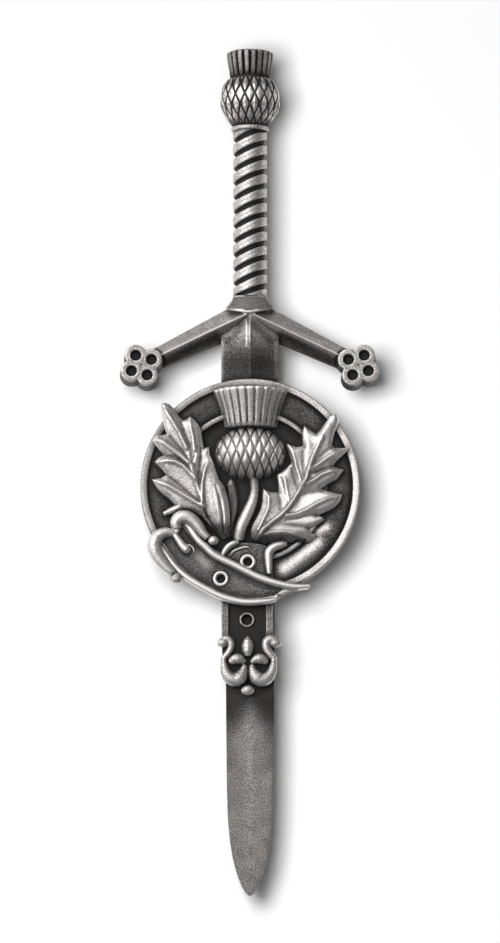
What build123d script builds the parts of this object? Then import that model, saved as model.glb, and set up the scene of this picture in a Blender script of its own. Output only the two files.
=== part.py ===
from build123d import *
import math
import os

# Sword-shaped kilt pin with a belt-and-thistle disc. It lies on its back: +Z is up and out of
# the front face, +Y points to the pommel, and Z = 0 is the surface that the finding rests on.
# All sizes are millimetres.

# Along the sword, from the top of the pommel down
total_length = 102.0
pommel_length = 9.6
grip_length = 20.3
grip_to_disc = 23.1        # grip's lower end to the centre of the disc
langet_lap = 0.5           # how far the langet runs on under the disc's edge

# Heights
back_height = 6.8          # flat back of blade and guard above the rest surface
blade_thickness = 1.6
disc_floor = 0.7           # floor of the disc's recess above the disc's back
belt_rise = 1.3            # belt's face above the disc's back
rim_rise = 1.7             # raised edges of the belt above the disc's back

# Pommel, a whole thistle head in the round
pommel_bulb_diameter = 7.0
pommel_collar_diameter = 4.5
pommel_collar_height = 0.7
pommel_neck_diameter = 4.9
pommel_neck_height = 0.6
pommel_crown_diameter = 5.6
pommel_crown_height = 2.9
pommel_flutes = 14
pommel_flute_radius = 0.25

# Grip, a round bar with spiral grooves
grip_diameter = 4.1
grip_starts = 2
grip_lead = 3.5            # one whole turn of a groove
groove_width = 0.65
groove_depth = 0.35

# Cross guard
guard_span = 31.2          # outside to outside of the quatrefoils
arm_droop = 25.6           # degrees below level
arm_root_width = 3.7
arm_end_width = 2.5
arm_edge_height = 1.1      # side walls of the arms
arm_ridge_height = 2.7     # ridge of the arms above the back
arm_overlap = 0.8          # how far the arm's end runs into its quatrefoil
hub_drop = 1.8             # the arms' crossing point below the grip's end
hub_top_drop = 1.2         # foot of the flaring hub below the grip's end
hub_width = 5.7
hub_height = 3.2
hub_corner_radius = 1.05
langet_width = 6.9
langet_height = 2.2
langet_ridge_drop = 1.8    # from the hub's foot to the top of the ridge
langet_ridge_length = 4.6
langet_ridge_width = 1.2
langet_ridge_height = 0.5
foil_pitch = 1.9           # centre to centre of neighbouring lobes
foil_lobe_radius = 1.3
foil_hole_radius = 0.63
foil_hole_depth = 1.3
foil_height = 2.9
foil_turn = 15.0           # degrees that each quatrefoil is turned

# Blade
blade_width = 5.8
blade_edge_chamfer = 0.35
point_length = 10.0        # from where the edges start to curve in, to the tip
point_width = 5.4          # width where the curve starts
tip_radius = 0.5

# Belt disc
disc_radius = 13.1
rim_width = 0.8
inner_rim_radius = 9.3
inner_rim_width = 0.6
strap_thickness = 0.5
strap_edge_width = 0.65
strap_edge_rise = 0.4
eyelet_radius = 0.95
eyelet_hole_radius = 0.55
eyelet_rise = 0.25
upper_tail_width = 5.7

# Lower tail of the belt, with its scrolled tip
tail_offset = -0.3         # the tail hangs a little left of the sword's axis
tail_width = 6.2
tail_length = 10.9
tail_thickness = 1.2
tail_edge_width = 0.8
tail_edge_rise = 0.2
tail_eyelet_drop = 2.9     # from the tail's top to its eyelet
scroll_drop = 5.0          # from the tail's top to the top of the scrolls
scroll_length = 6.2
scroll_bar = 0.85
scroll_rise = 0.9          # scrollwork above the tail's face
scroll_knob_radius = 0.7
scroll_leaf_length = 2.6
scroll_leaf_width = 1.3
tip_ball_radius = 0.62

# Buckle
buckle_bar = 0.95
buckle_rise = 1.1
buckle_ball_radius = 0.6
prong_bar = 0.7
prong_rise = 0.6

# Thistle head on the disc
head_sink = 1.65           # axis of the turned head below the belt's raised edges
bulb_diameter = 8.5
bulb_length = 6.1
bulb_foot_diameter = 1.6
bulb_offset = 4.4          # bulb's centre above the disc's centre
crown_foot_offset = 2.5    # crown's foot above the bulb's centre
crown_foot_diameter = 6.3
crown_top_diameter = 9.2
crown_length = 4.85
crown_flutes = 10
crown_flute_radius = 0.25

# Stem and leaves
stem_bar = 1.05
stem_rise = 1.3
leaf_length = 18.0
left_leaf_turn = 117.0     # degrees from +X, base to tip
right_leaf_turn = 58.5
leaf_thickness = 0.75
vein_bar = 0.6
vein_rise = 0.4

# Back finding, one plain piece: mounting bar, hinge block, pin wire and catch
finding_length = 37.0
finding_centre = -0.8
finding_bar_width = 4.4
finding_bar_thickness = 0.7
finding_bar_corner = 1.1
hinge_width = 5.4
hinge_length = 4.0
catch_width = 5.0
catch_length = 3.0
wire_diameter = 1.0
wire_height = 1.3          # wire's axis above the rest surface
wire_play = 0.15           # clear space round the wire in the catch
wire_point_length = 2.6
wire_point_diameter = 0.4
foot_chamfer = 0.4

fit_gap = 0.1              # between neighbouring pieces that don't touch

# Places that follow from the sizes
pommel_top = total_length / 2
blade_tip = -total_length / 2
grip_top = pommel_top - pommel_length
grip_end = grip_top - grip_length
disc_y = grip_end - grip_to_disc
langet_end = disc_y + disc_radius - langet_lap
hub_y = grip_end - hub_drop
hub_foot = grip_end - hub_top_drop
axis_height = back_height + grip_diameter / 2
disc_back = back_height + blade_thickness
floor_z = disc_back + disc_floor
belt_z = disc_back + belt_rise
rim_z = disc_back + rim_rise
strap_z = rim_z + strap_thickness
recess_radius = inner_rim_radius - inner_rim_width
tail_top = disc_y - disc_radius - fit_gap
tail_z = disc_back + tail_thickness
scroll_top = tail_top - scroll_drop
finding_top = finding_centre + finding_length / 2
finding_foot = finding_centre - finding_length / 2

# Leaf edges, out along the leaf's outer side and back along its inner side.
# Columns: along, across, as shares of leaf_length; across is positive to the left of the line
# from base to tip.
left_leaf_edge = [
    (0.00, 0.04), (0.12, 0.09), (0.24, 0.13), (0.30, 0.20), (0.31, 0.32), (0.34, 0.33),
    (0.34, 0.23), (0.45, 0.27), (0.565, 0.29), (0.555, 0.20), (0.665, 0.22), (0.68, 0.15),
    (0.80, 0.17), (0.82, 0.14), (0.80, 0.07), (0.92, 0.04), (1.00, 0.00), (0.97, -0.04),
    (0.83, -0.07), (0.835, -0.125), (0.75, -0.15), (0.60, -0.11), (0.40, -0.10),
    (0.25, -0.09), (0.10, -0.03), (0.00, 0.00),
]
right_leaf_edge = [
    (0.00, -0.04), (0.08, -0.13), (0.14, -0.26), (0.20, -0.32), (0.235, -0.31),
    (0.24, -0.25), (0.35, -0.305), (0.36, -0.265), (0.45, -0.325), (0.56, -0.32),
    (0.51, -0.20), (0.62, -0.235), (0.705, -0.24), (0.67, -0.155), (0.845, -0.20),
    (0.795, -0.10), (0.93, -0.05), (1.00, -0.01), (0.96, 0.03), (0.815, 0.04),
    (0.82, 0.14), (0.70, 0.075), (0.65, 0.165), (0.57, 0.075), (0.445, 0.12),
    (0.35, 0.05), (0.31, 0.145), (0.25, 0.08), (0.12, 0.06), (0.00, 0.04),
]

# Veins. Columns: start along, start across, middle along, middle across, end along, end across,
# in the same shares.
left_leaf_veins = [
    (0.08, 0.02, 0.48, 0.04, 0.93, 0.00),
    (0.22, 0.04, 0.40, 0.15, 0.53, 0.25),
    (0.40, 0.04, 0.55, 0.08, 0.64, 0.17),
    (0.55, 0.03, 0.68, 0.08, 0.78, 0.14),
    (0.38, 0.04, 0.50, -0.03, 0.72, -0.10),
]
right_leaf_veins = [
    (0.04, 0.02, 0.40, -0.07, 0.93, -0.01),
    (0.24, -0.05, 0.37, -0.17, 0.52, -0.28),
    (0.50, -0.06, 0.58, -0.13, 0.67, -0.21),
    (0.58, -0.03, 0.68, -0.09, 0.80, -0.16),
    (0.06, 0.01, 0.13, -0.10, 0.20, -0.27),
    (0.50, -0.05, 0.66, 0.01, 0.78, 0.09),
]

# Places on the disc, from its centre. Columns: x, y, as shares of disc_radius.
left_leaf_base = (-0.18, -0.46)
right_leaf_base = (0.07, -0.51)
strap_upper_edge = [(-0.54, -0.42), (0.03, -0.83), (0.56, -0.92)]
strap_lower_edge = [(-0.755, -0.64), (-0.32, -0.99), (0.24, -1.04)]
strap_eyelet = (-0.27, -0.865)
upper_tail_top = (-0.01, -0.56)
upper_tail_eyelet = (-0.02, -0.70)
buckle_upper_bar = [(-0.675, -0.43), (-0.665, -0.34), (-0.57, -0.28), (-0.46, -0.34), (-0.37, -0.48)]
buckle_lower_bar = [(-0.675, -0.43), (-0.79, -0.47), (-0.86, -0.60), (-0.79, -0.73), (-0.70, -0.82)]
buckle_balls = [(-0.335, -0.51), (-0.69, -0.85)]
prong_line = [(-0.675, -0.43), (-0.575, -0.59)]
stem_line = [(0.03, 0.075), (0.035, -0.05), (-0.05, -0.23), (-0.10, -0.35), (-0.11, -0.47)]

# Scrolled tip, one half, from the top middle of the scrollwork.
# Columns: x as a share of half the tail's width, y as a share of scroll_length.
scroll_outer = [
    (1.00, -0.12), (0.88, -0.035), (0.62, -0.13), (0.66, -0.28), (0.90, -0.38), (0.97, -0.62),
    (0.62, -0.86), (0.26, -0.76), (0.17, -0.58),
]
scroll_petal = [(0.72, -0.48), (0.46, -0.35), (0.14, -0.47)]
scroll_leaf = (0.0, -0.20)
tip_ball = (0.0, -1.05)


def from_disc(share):
    """Place on the sword's plane of a point given in shares of the disc's radius."""
    return (share[0] * disc_radius, disc_y + share[1] * disc_radius)


def from_tip(share, side):
    """Place of a point of the scrolled tip; side is 1 for the right half and -1 for the left."""
    return (tail_offset + side * share[0] * tail_width / 2, scroll_top + share[1] * scroll_length)


def on_leaf(base_share, turn, share):
    """Place of a leaf's point: turned about the leaf's base and scaled to its length."""
    base_x, base_y = from_disc(base_share)
    along = leaf_length * share[0]
    across = leaf_length * share[1]
    c = math.cos(math.radians(turn))
    s = math.sin(math.radians(turn))
    return (base_x + along * c - across * s, base_y + along * s + across * c)


def leaf_outline(base_share, turn, edge):
    """Closed list of a leaf's edge points."""
    points = [on_leaf(base_share, turn, share) for share in edge]
    return points + points[:1]


def vein_points(base_share, turn, row):
    """Start, middle and end of one vein from its table row."""
    return [on_leaf(base_share, turn, row[i:i + 2]) for i in (0, 2, 4)]


# Pommel: collar, bulb, neck and fluted crown, turned about the grip's axis
bulb_foot = grip_top + pommel_collar_height
crown_foot = pommel_top - pommel_crown_height
bulb_top = crown_foot - pommel_neck_height
with BuildPart() as thistle_pommel:
    with BuildSketch(Plane.XY.offset(axis_height)):
        with BuildLine():
            Polyline(
                (pommel_neck_diameter / 2, bulb_top),
                (pommel_neck_diameter / 2, crown_foot),
                (pommel_crown_diameter / 2, pommel_top),
                (0, pommel_top),
                (0, grip_top),
                (pommel_collar_diameter / 2, grip_top),
                (pommel_collar_diameter / 2, bulb_foot),
            )
            ThreePointArc(
                (pommel_collar_diameter / 2, bulb_foot),
                (pommel_bulb_diameter / 2, (bulb_top + bulb_foot) / 2),
                (pommel_neck_diameter / 2, bulb_top),
            )
        make_face()
    revolve(axis=Axis((0, 0, axis_height), (0, 1, 0)))
    with BuildSketch(Plane(origin=(0, pommel_top, axis_height), z_dir=(0, -1, 0))):
        with PolarLocations(pommel_crown_diameter / 2, pommel_flutes):
            Circle(pommel_flute_radius)
    extrude(amount=pommel_crown_height, mode=Mode.SUBTRACT)
thistle_pommel.part.label = "thistle_pommel"

# Grip: a round bar cut by right-handed spiral grooves
with BuildPart() as groove_cutter:
    with BuildLine() as groove_path:
        Helix(
            pitch=grip_lead,
            height=grip_length + grip_lead,
            radius=grip_diameter / 2,
            center=(0, grip_end - grip_lead / 2, axis_height),
            direction=(0, 1, 0),
        )
    with BuildSketch(Plane(origin=groove_path.line @ 0, z_dir=groove_path.line % 0)):
        Rectangle(2 * groove_depth, groove_width)
    sweep(path=groove_path.line)
with BuildPart() as twisted_grip:
    with BuildSketch(Plane(origin=(0, grip_end, axis_height), z_dir=(0, 1, 0))):
        Circle(grip_diameter / 2)
    extrude(amount=grip_length)
    for start in range(grip_starts):
        turned = groove_cutter.part.rotate(
            Axis((0, 0, axis_height), (0, 1, 0)), start * 360 / grip_starts
        )
        add(turned, mode=Mode.SUBTRACT)
twisted_grip.part.label = "twisted_grip"

# Cross guard: roof-shaped arms, flaring hub, langet and a quatrefoil at each end
droop = math.radians(arm_droop)
foil_x = guard_span / 2 - (foil_pitch / 2) * (
    math.cos(math.radians(foil_turn)) + math.sin(math.radians(foil_turn))
) - foil_lobe_radius
foil_y = hub_y - foil_x * math.tan(droop)
arm_length = foil_x / math.cos(droop) - foil_pitch / 2 - foil_lobe_radius + arm_overlap
with BuildPart() as cross_guard:
    for distance, width in ((0, arm_root_width), (arm_length, arm_end_width)):
        section = Plane(
            origin=(distance * math.cos(droop), hub_y - distance * math.sin(droop), back_height),
            x_dir=(math.sin(droop), math.cos(droop), 0),
            z_dir=(math.cos(droop), -math.sin(droop), 0),
        )
        with BuildSketch(section):
            Polygon(
                (-width / 2, 0),
                (width / 2, 0),
                (width / 2, arm_edge_height),
                (0, arm_ridge_height),
                (-width / 2, arm_edge_height),
                align=None,
            )
    loft()
    with BuildSketch(Plane.XY.offset(back_height)):
        with Locations((foil_x, foil_y)):
            with Locations(Rotation(0, 0, foil_turn)):
                Rectangle(foil_pitch, foil_pitch)
                with GridLocations(foil_pitch, foil_pitch, 2, 2):
                    Circle(foil_lobe_radius)
    extrude(amount=foil_height)
    with BuildSketch(Plane.XY.offset(back_height + foil_height)):
        with Locations((foil_x, foil_y)):
            with Locations(Rotation(0, 0, foil_turn)):
                with GridLocations(foil_pitch, foil_pitch, 2, 2):
                    Circle(foil_hole_radius)
    extrude(amount=-foil_hole_depth, mode=Mode.SUBTRACT)
    mirror(about=Plane.YZ)
    with BuildSketch(Plane.XY.offset(back_height)):
        Polygon(
            (-hub_width / 2, hub_foot),
            (hub_width / 2, hub_foot),
            (langet_width / 2, hub_y - arm_root_width),
            (langet_width / 2, langet_end),
            (-langet_width / 2, langet_end),
            (-langet_width / 2, hub_y - arm_root_width),
            align=None,
        )
    extrude(amount=langet_height)
    with BuildSketch(Plane(origin=(0, grip_end, axis_height), z_dir=(0, -1, 0))):
        Circle(grip_diameter / 2)
    hub_middle = (0, hub_foot, back_height + hub_height / 2)
    with BuildSketch(Plane(origin=hub_middle, x_dir=(1, 0, 0), z_dir=(0, -1, 0))):
        RectangleRounded(hub_width, hub_height, hub_corner_radius)
    loft()
    ridge_top = hub_foot - langet_ridge_drop
    ridge_base = back_height + langet_height
    with BuildSketch(Plane(origin=(0, ridge_top, ridge_base), x_dir=(-1, 0, 0), z_dir=(0, 1, 0))):
        Polygon(
            (-langet_ridge_width / 2, 0),
            (langet_ridge_width / 2, 0),
            (0, langet_ridge_height),
            align=None,
        )
    extrude(amount=-langet_ridge_length)
    with BuildSketch(Plane.XY.offset(disc_back)):
        with Locations((0, disc_y)):
            Circle(disc_radius + fit_gap)
    extrude(amount=langet_height, mode=Mode.SUBTRACT)
cross_guard.part.label = "cross_guard"

# Blade: a flat bar with bevelled edges and a curved point
point_start = blade_tip + point_length
with BuildPart() as blade:
    with BuildSketch(Plane.XY.offset(back_height)):
        with BuildLine():
            Polyline(
                (point_width / 2, point_start),
                (blade_width / 2, langet_end),
                (-blade_width / 2, langet_end),
                (-point_width / 2, point_start),
            )
            for side in (1, -1):
                TangentArc(
                    (side * point_width / 2, point_start),
                    (side * tip_radius, blade_tip + tip_radius),
                    tangent=(0, -1),
                )
            ThreePointArc(
                (tip_radius, blade_tip + tip_radius),
                (0, blade_tip),
                (-tip_radius, blade_tip + tip_radius),
            )
        make_face()
    extrude(amount=blade_thickness)
    front_edges = blade.faces().sort_by(Axis.Z)[-1].edges()
    long_edges = front_edges.filter_by(GeomType.LINE).sort_by(SortBy.LENGTH)[-2:]
    chamfer(long_edges, blade_edge_chamfer)
blade.part.label = "blade"

# Belt disc: floor, ring of belt with raised edges, crossing strap and the tail's upper end
with BuildPart() as belt_disc:
    with BuildSketch(Plane.XZ.offset(-disc_y)):
        Polygon(
            (0, disc_back),
            (disc_radius, disc_back),
            (disc_radius, rim_z),
            (disc_radius - rim_width, rim_z),
            (disc_radius - rim_width, belt_z),
            (inner_rim_radius, belt_z),
            (inner_rim_radius, rim_z),
            (recess_radius, rim_z),
            (recess_radius, floor_z),
            (0, floor_z),
            align=None,
        )
    revolve(axis=Axis((0, disc_y, 0), (0, 0, 1)))
    tail_x, tail_y = from_disc(upper_tail_top)
    tail_run = tail_y - (disc_y - disc_radius + rim_width / 2)
    with BuildSketch(Plane.XY.offset(floor_z)):
        with Locations((tail_x, tail_y)):
            Rectangle(upper_tail_width, tail_run, align=(Align.CENTER, Align.MAX))
    extrude(amount=rim_z - floor_z)
    with BuildSketch(Plane.XY.offset(rim_z)):
        with BuildLine():
            upper = ThreePointArc(*[from_disc(share) for share in strap_upper_edge])
            lower = ThreePointArc(*[from_disc(share) for share in strap_lower_edge])
            Line(upper @ 0, lower @ 0)
            Line(upper @ 1, lower @ 1)
        make_face()
    extrude(amount=strap_thickness)
    for edge_points in (strap_upper_edge, strap_lower_edge):
        with BuildSketch(Plane.XY.offset(rim_z)):
            with BuildLine():
                ThreePointArc(*[from_disc(share) for share in edge_points])
            trace(line_width=strap_edge_width)
        extrude(amount=strap_thickness + strap_edge_rise)
    for eyelet, face_z in ((strap_eyelet, strap_z), (upper_tail_eyelet, rim_z)):
        with BuildSketch(Plane.XY.offset(face_z)):
            with Locations(from_disc(eyelet)):
                Circle(eyelet_radius)
        extrude(amount=eyelet_rise)
        with BuildSketch(Plane.XY.offset(face_z + eyelet_rise)):
            with Locations(from_disc(eyelet)):
                Circle(eyelet_hole_radius)
        extrude(amount=-eyelet_rise - strap_thickness / 2, mode=Mode.SUBTRACT)
    with BuildSketch(Plane.XY.offset(rim_z)):
        for bar in (buckle_upper_bar, buckle_lower_bar):
            with BuildLine():
                Spline(*[from_disc(share) for share in bar])
            trace(line_width=buckle_bar + 2 * fit_gap)
    extrude(amount=buckle_rise, mode=Mode.SUBTRACT)
belt_disc.part.label = "belt_disc"

# Buckle: two curled bars that meet in a cusp, a ball on each end, and a prong on the strap
with BuildPart() as buckle:
    with BuildSketch(Plane.XY.offset(rim_z)):
        for bar in (buckle_upper_bar, buckle_lower_bar):
            with BuildLine():
                Spline(*[from_disc(share) for share in bar])
            trace(line_width=buckle_bar)
        for ball in buckle_balls:
            with Locations(from_disc(ball)):
                Circle(buckle_ball_radius)
    extrude(amount=buckle_rise)
    with BuildSketch(Plane.XY.offset(strap_z)):
        with BuildLine():
            Line(*[from_disc(share) for share in prong_line])
        trace(line_width=prong_bar)
    extrude(amount=prong_rise)
buckle.part.label = "buckle"

# Lower tail of the belt: strap with raised edges, eyelet and scrolled tip
with BuildPart() as belt_tail:
    with BuildSketch(Plane.XY.offset(disc_back)):
        with Locations((tail_offset, tail_top)):
            Rectangle(tail_width, tail_length, align=(Align.CENTER, Align.MAX))
    extrude(amount=tail_thickness)
    with BuildSketch(Plane.XY.offset(tail_z)):
        for side in (1, -1):
            with Locations((tail_offset + side * (tail_width - tail_edge_width) / 2, tail_top)):
                Rectangle(tail_edge_width, scroll_drop, align=(Align.CENTER, Align.MAX))
        with Locations((tail_offset, tail_top - tail_eyelet_drop)):
            Circle(eyelet_radius)
    extrude(amount=tail_edge_rise)
    with BuildSketch(Plane.XY.offset(tail_z + tail_edge_rise)):
        with Locations((tail_offset, tail_top - tail_eyelet_drop)):
            Circle(eyelet_hole_radius)
    extrude(amount=-tail_thickness / 2, mode=Mode.SUBTRACT)
    for side in (1, -1):
        for line in (scroll_outer, scroll_petal):
            with BuildSketch(Plane.XY.offset(disc_back)):
                with BuildLine():
                    Spline(*[from_tip(share, side) for share in line])
                trace(line_width=scroll_bar)
            extrude(amount=tail_thickness + scroll_rise)
        with BuildSketch(Plane.XY.offset(disc_back)):
            with Locations(from_tip(scroll_outer[0], side)):
                Circle(scroll_knob_radius)
        extrude(amount=tail_thickness + scroll_rise)
    with BuildSketch(Plane.XY.offset(disc_back)):
        with Locations(from_tip(scroll_leaf, 1)):
            Ellipse(scroll_leaf_width / 2, scroll_leaf_length / 2)
        with Locations(from_tip(tip_ball, 1)):
            Circle(tip_ball_radius)
    extrude(amount=tail_thickness + scroll_rise)
belt_tail.part.label = "belt_tail"

# Thistle head: bulb and fluted crown turned about one axis that lies low in the disc, so that
# about two thirds of the round stand out; the bulb seats on the disc's floor and the crown on
# the belt's raised edges
bulb_y = disc_y + bulb_offset
head_axis_z = rim_z - head_sink
crown_foot_y = bulb_y + crown_foot_offset
crown_top_y = crown_foot_y + crown_length
with BuildPart() as thistle_head:
    with BuildSketch(Plane.XY.offset(head_axis_z)):
        with BuildLine():
            Polyline(
                (crown_foot_diameter / 2, crown_foot_y),
                (crown_top_diameter / 2, crown_top_y),
                (0, crown_top_y),
                (0, bulb_y - bulb_length / 2),
                (bulb_foot_diameter / 2, bulb_y - bulb_length / 2),
            )
            ThreePointArc(
                (bulb_foot_diameter / 2, bulb_y - bulb_length / 2),
                (bulb_diameter / 2, bulb_y),
                (crown_foot_diameter / 2, crown_foot_y),
            )
        make_face()
    revolve(axis=Axis((0, 0, head_axis_z), (0, 1, 0)))
    with BuildSketch(Plane.XY.offset(floor_z)):
        with Locations((0, bulb_y)):
            Rectangle(2 * bulb_diameter, 2 * bulb_length)
    extrude(amount=-bulb_diameter, mode=Mode.SUBTRACT)
    with BuildSketch(Plane.XY.offset(rim_z)):
        with Locations((0, crown_foot_y)):
            Rectangle(2 * crown_top_diameter, 2 * crown_length, align=(Align.CENTER, Align.MIN))
    extrude(amount=-crown_top_diameter, mode=Mode.SUBTRACT)
    for flute in range(crown_flutes):
        angle = math.pi * (flute + 0.5) / crown_flutes
        out = Vector(math.cos(angle), 0, math.sin(angle))
        foot = Vector(0, crown_foot_y, head_axis_z) + out * (crown_foot_diameter / 2)
        top = Vector(0, crown_top_y, head_axis_z) + out * (crown_top_diameter / 2)
        with BuildSketch(Plane(origin=foot, z_dir=top - foot)):
            Circle(crown_flute_radius)
        extrude(amount=(top - foot).length + crown_flute_radius, mode=Mode.SUBTRACT)
thistle_head.part.label = "thistle_head"

# Thistle stem: an S-shaped bar on the disc's floor
with BuildPart() as thistle_stem:
    with BuildSketch(Plane.XY.offset(floor_z)):
        with BuildLine():
            Spline(*[from_disc(share) for share in stem_line])
        trace(line_width=stem_bar)
    extrude(amount=stem_rise)
thistle_stem.part.label = "thistle_stem"

# Leaves: each a lobed plate on the belt's raised edges, its foot in the recess, and raised veins
def build_leaf(label, base_share, turn, edge, veins):
    """One leaf, made at its place on the disc from its edge and vein tables."""
    outline = leaf_outline(base_share, turn, edge)
    with BuildPart() as leaf:
        with BuildSketch(Plane.XY.offset(floor_z)):
            with BuildLine():
                Polyline(*outline)
            make_face()
            with Locations((0, disc_y)):
                Circle(recess_radius - fit_gap, mode=Mode.INTERSECT)
        extrude(amount=rim_z - floor_z)
        with BuildSketch(Plane.XY.offset(rim_z)):
            with BuildLine():
                Polyline(*outline)
            make_face()
        extrude(amount=leaf_thickness)
        for row in veins:
            with BuildSketch(Plane.XY.offset(rim_z + leaf_thickness)):
                with BuildLine():
                    ThreePointArc(*vein_points(base_share, turn, row))
                trace(line_width=vein_bar)
            extrude(amount=vein_rise)
    leaf.part.label = label
    return leaf


left_leaf = build_leaf(
    "left_leaf", left_leaf_base, left_leaf_turn, left_leaf_edge, left_leaf_veins
)
right_leaf = build_leaf(
    "right_leaf", right_leaf_base, right_leaf_turn, right_leaf_edge, right_leaf_veins
)

# Back finding: mounting bar, hinge block, catch open to the right, and the pin wire
wire_gap = wire_diameter / 2 + wire_play
wire_tip = finding_foot + wire_play
with BuildPart() as pin_finding:
    with BuildSketch(Plane.XY.offset(back_height)):
        with Locations((0, finding_centre)):
            RectangleRounded(finding_bar_width, finding_length, finding_bar_corner)
    extrude(amount=-finding_bar_thickness)
    with BuildSketch(Plane.XY):
        with Locations((0, finding_top)):
            Rectangle(hinge_width, hinge_length, align=(Align.CENTER, Align.MAX))
        with Locations((0, finding_foot)):
            Rectangle(catch_width, catch_length, align=(Align.CENTER, Align.MIN))
    extrude(amount=back_height)
    foot_edges = pin_finding.faces().group_by(Axis.Z)[0].edges()
    chamfer(foot_edges, foot_chamfer)
    with BuildSketch(Plane.XZ.offset(-finding_foot)):
        with Locations((-wire_gap, wire_height)):
            Rectangle(catch_width, 2 * wire_gap, align=(Align.MIN, Align.CENTER))
    extrude(amount=-catch_length, mode=Mode.SUBTRACT)
    with BuildSketch(Plane(origin=(0, finding_top - hinge_length, wire_height), z_dir=(0, -1, 0))):
        Circle(wire_diameter / 2)
    extrude(amount=finding_top - hinge_length - wire_tip - wire_point_length)
    with BuildSketch(Plane(origin=(0, wire_tip + wire_point_length, wire_height), z_dir=(0, -1, 0))):
        Circle(wire_diameter / 2)
    with BuildSketch(Plane(origin=(0, wire_tip, wire_height), z_dir=(0, -1, 0))):
        Circle(wire_point_diameter / 2)
    loft()
pin_finding.part.label = "pin_finding"

os.makedirs("parts", exist_ok=True)
export_step(thistle_pommel.part, "parts/thistle_pommel.step")
export_step(twisted_grip.part, "parts/twisted_grip.step")
export_step(cross_guard.part, "parts/cross_guard.step")
export_step(blade.part, "parts/blade.step")
export_step(belt_disc.part, "parts/belt_disc.step")
export_step(buckle.part, "parts/buckle.step")
export_step(belt_tail.part, "parts/belt_tail.step")
export_step(thistle_head.part, "parts/thistle_head.step")
export_step(thistle_stem.part, "parts/thistle_stem.step")
export_step(left_leaf.part, "parts/left_leaf.step")
export_step(right_leaf.part, "parts/right_leaf.step")
export_step(pin_finding.part, "parts/pin_finding.step")
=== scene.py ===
import logging
import math
from dataclasses import dataclass, replace
from enum import Enum
from typing import Callable, Sequence

import bmesh
import bpy
import numpy as np
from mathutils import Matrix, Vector


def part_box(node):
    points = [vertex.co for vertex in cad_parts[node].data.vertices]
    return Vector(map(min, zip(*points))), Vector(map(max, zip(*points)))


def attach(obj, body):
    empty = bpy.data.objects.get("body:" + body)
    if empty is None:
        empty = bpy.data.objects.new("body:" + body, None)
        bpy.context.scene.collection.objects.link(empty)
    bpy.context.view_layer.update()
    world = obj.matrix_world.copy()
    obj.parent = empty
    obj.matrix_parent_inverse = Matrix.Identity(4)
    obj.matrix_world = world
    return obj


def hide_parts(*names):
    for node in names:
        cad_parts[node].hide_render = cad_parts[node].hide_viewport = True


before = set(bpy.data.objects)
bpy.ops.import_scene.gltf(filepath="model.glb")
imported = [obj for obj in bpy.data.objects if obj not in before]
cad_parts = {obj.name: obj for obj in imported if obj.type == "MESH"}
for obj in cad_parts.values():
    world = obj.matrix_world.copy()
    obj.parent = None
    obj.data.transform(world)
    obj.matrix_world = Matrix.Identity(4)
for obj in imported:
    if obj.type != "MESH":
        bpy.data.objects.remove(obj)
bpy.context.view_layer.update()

log = logging.getLogger("kilt_pin")

# Pieces are modelled in millimetres, as a jeweller measures, and brought to metres at the end
MM = 0.001
# Vertices that lie closer than this, in millimetres, are one
SEAM = 0.0005
# The height at which the photo's lines of patina, wear and painted light and shade are read
PATINA_AND_LIGHT_LEVEL = 10.3
# How deep an eyelet hole is sunk, and how near to a face's height its vertices lie
EYELET_DEPTH = 0.6
NEAR_FACE = 0.2

Piece = bpy.types.Object
Socket = bpy.types.NodeSocket
Point = tuple[float, float]
Line = tuple[Point, ...]
Size = tuple[float, float, float]
# One number for each vertex of a piece, such as all their heights
Values = np.ndarray
# A move changes x, y and z in place, and a rule works a number out from them
Move = Callable[[Values, Values, Values], None]
Rule = Callable[[Values, Values, Values], Values]


class Part(Enum):
    """What is picked in edit mode."""

    VERTEX = "VERT"
    EDGE = "EDGE"
    FACE = "FACE"


class Slot(Enum):
    """The material slots."""

    PEWTER = "antique_pewter"
    STEEL = "finding_steel"


@dataclass(frozen=True)
class PhotoSheet:
    """Turns a point read off the photo, in pixels, into a place on the pin, in millimetres."""

    middle_x: float = 250.0
    middle_y: float = 470.75
    across: float = 0.11954
    along: float = 0.12136
    sight: float = 1.615
    lean: float = 0.174
    squash: float = 0.985

    def place(self, pixel: Point, height: float) -> Vector:
        """The place that a pixel shows, on a level at that height.

        Args:
            pixel: x and y in the photo.
            height: the level above the rest surface, in millimetres.

        Returns:
            The place in millimetres.
        """
        x = (pixel[0] - self.middle_x) * self.across
        y = (self.sight - self.lean * height) / self.squash
        y += (self.middle_y - pixel[1]) * self.along
        return Vector((x, y, height))

    def line(self, pixels: Sequence[Point], height: float) -> list[Vector]:
        """The places of a row of pixels, all on one level."""
        return [self.place(pixel, height) for pixel in pixels]

    def flat(self, pixels: Sequence[Point], height: float) -> np.ndarray:
        """The x and y of the places of a row of pixels."""
        return flattened(self.line(pixels, height))


photo = PhotoSheet()


def flattened(points: Sequence[Vector]) -> np.ndarray:
    """The x and y of some points, a row for each."""
    return np.array([point.xy for point in points])


def node_box(name: str) -> tuple[Vector, Vector]:
    """Lowest and highest corner of a node of the frame, in millimetres."""
    low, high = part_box(name)
    return low / MM, high / MM


def disc_round() -> tuple[float, float]:
    """The belt disc seen from the front.

    Returns:
        Its radius, and the y of its centre.
    """
    low, high = node_box("belt_disc")
    radius = (high.x - low.x) / 2
    return radius, high.y - radius


def take_up(piece: Piece) -> None:
    """Deselects everything else and makes a piece the active one.

    Args:
        piece: the piece to work on next.
    """
    bpy.ops.object.select_all(action="DESELECT")
    piece.select_set(True)
    bpy.context.view_layer.objects.active = piece


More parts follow.
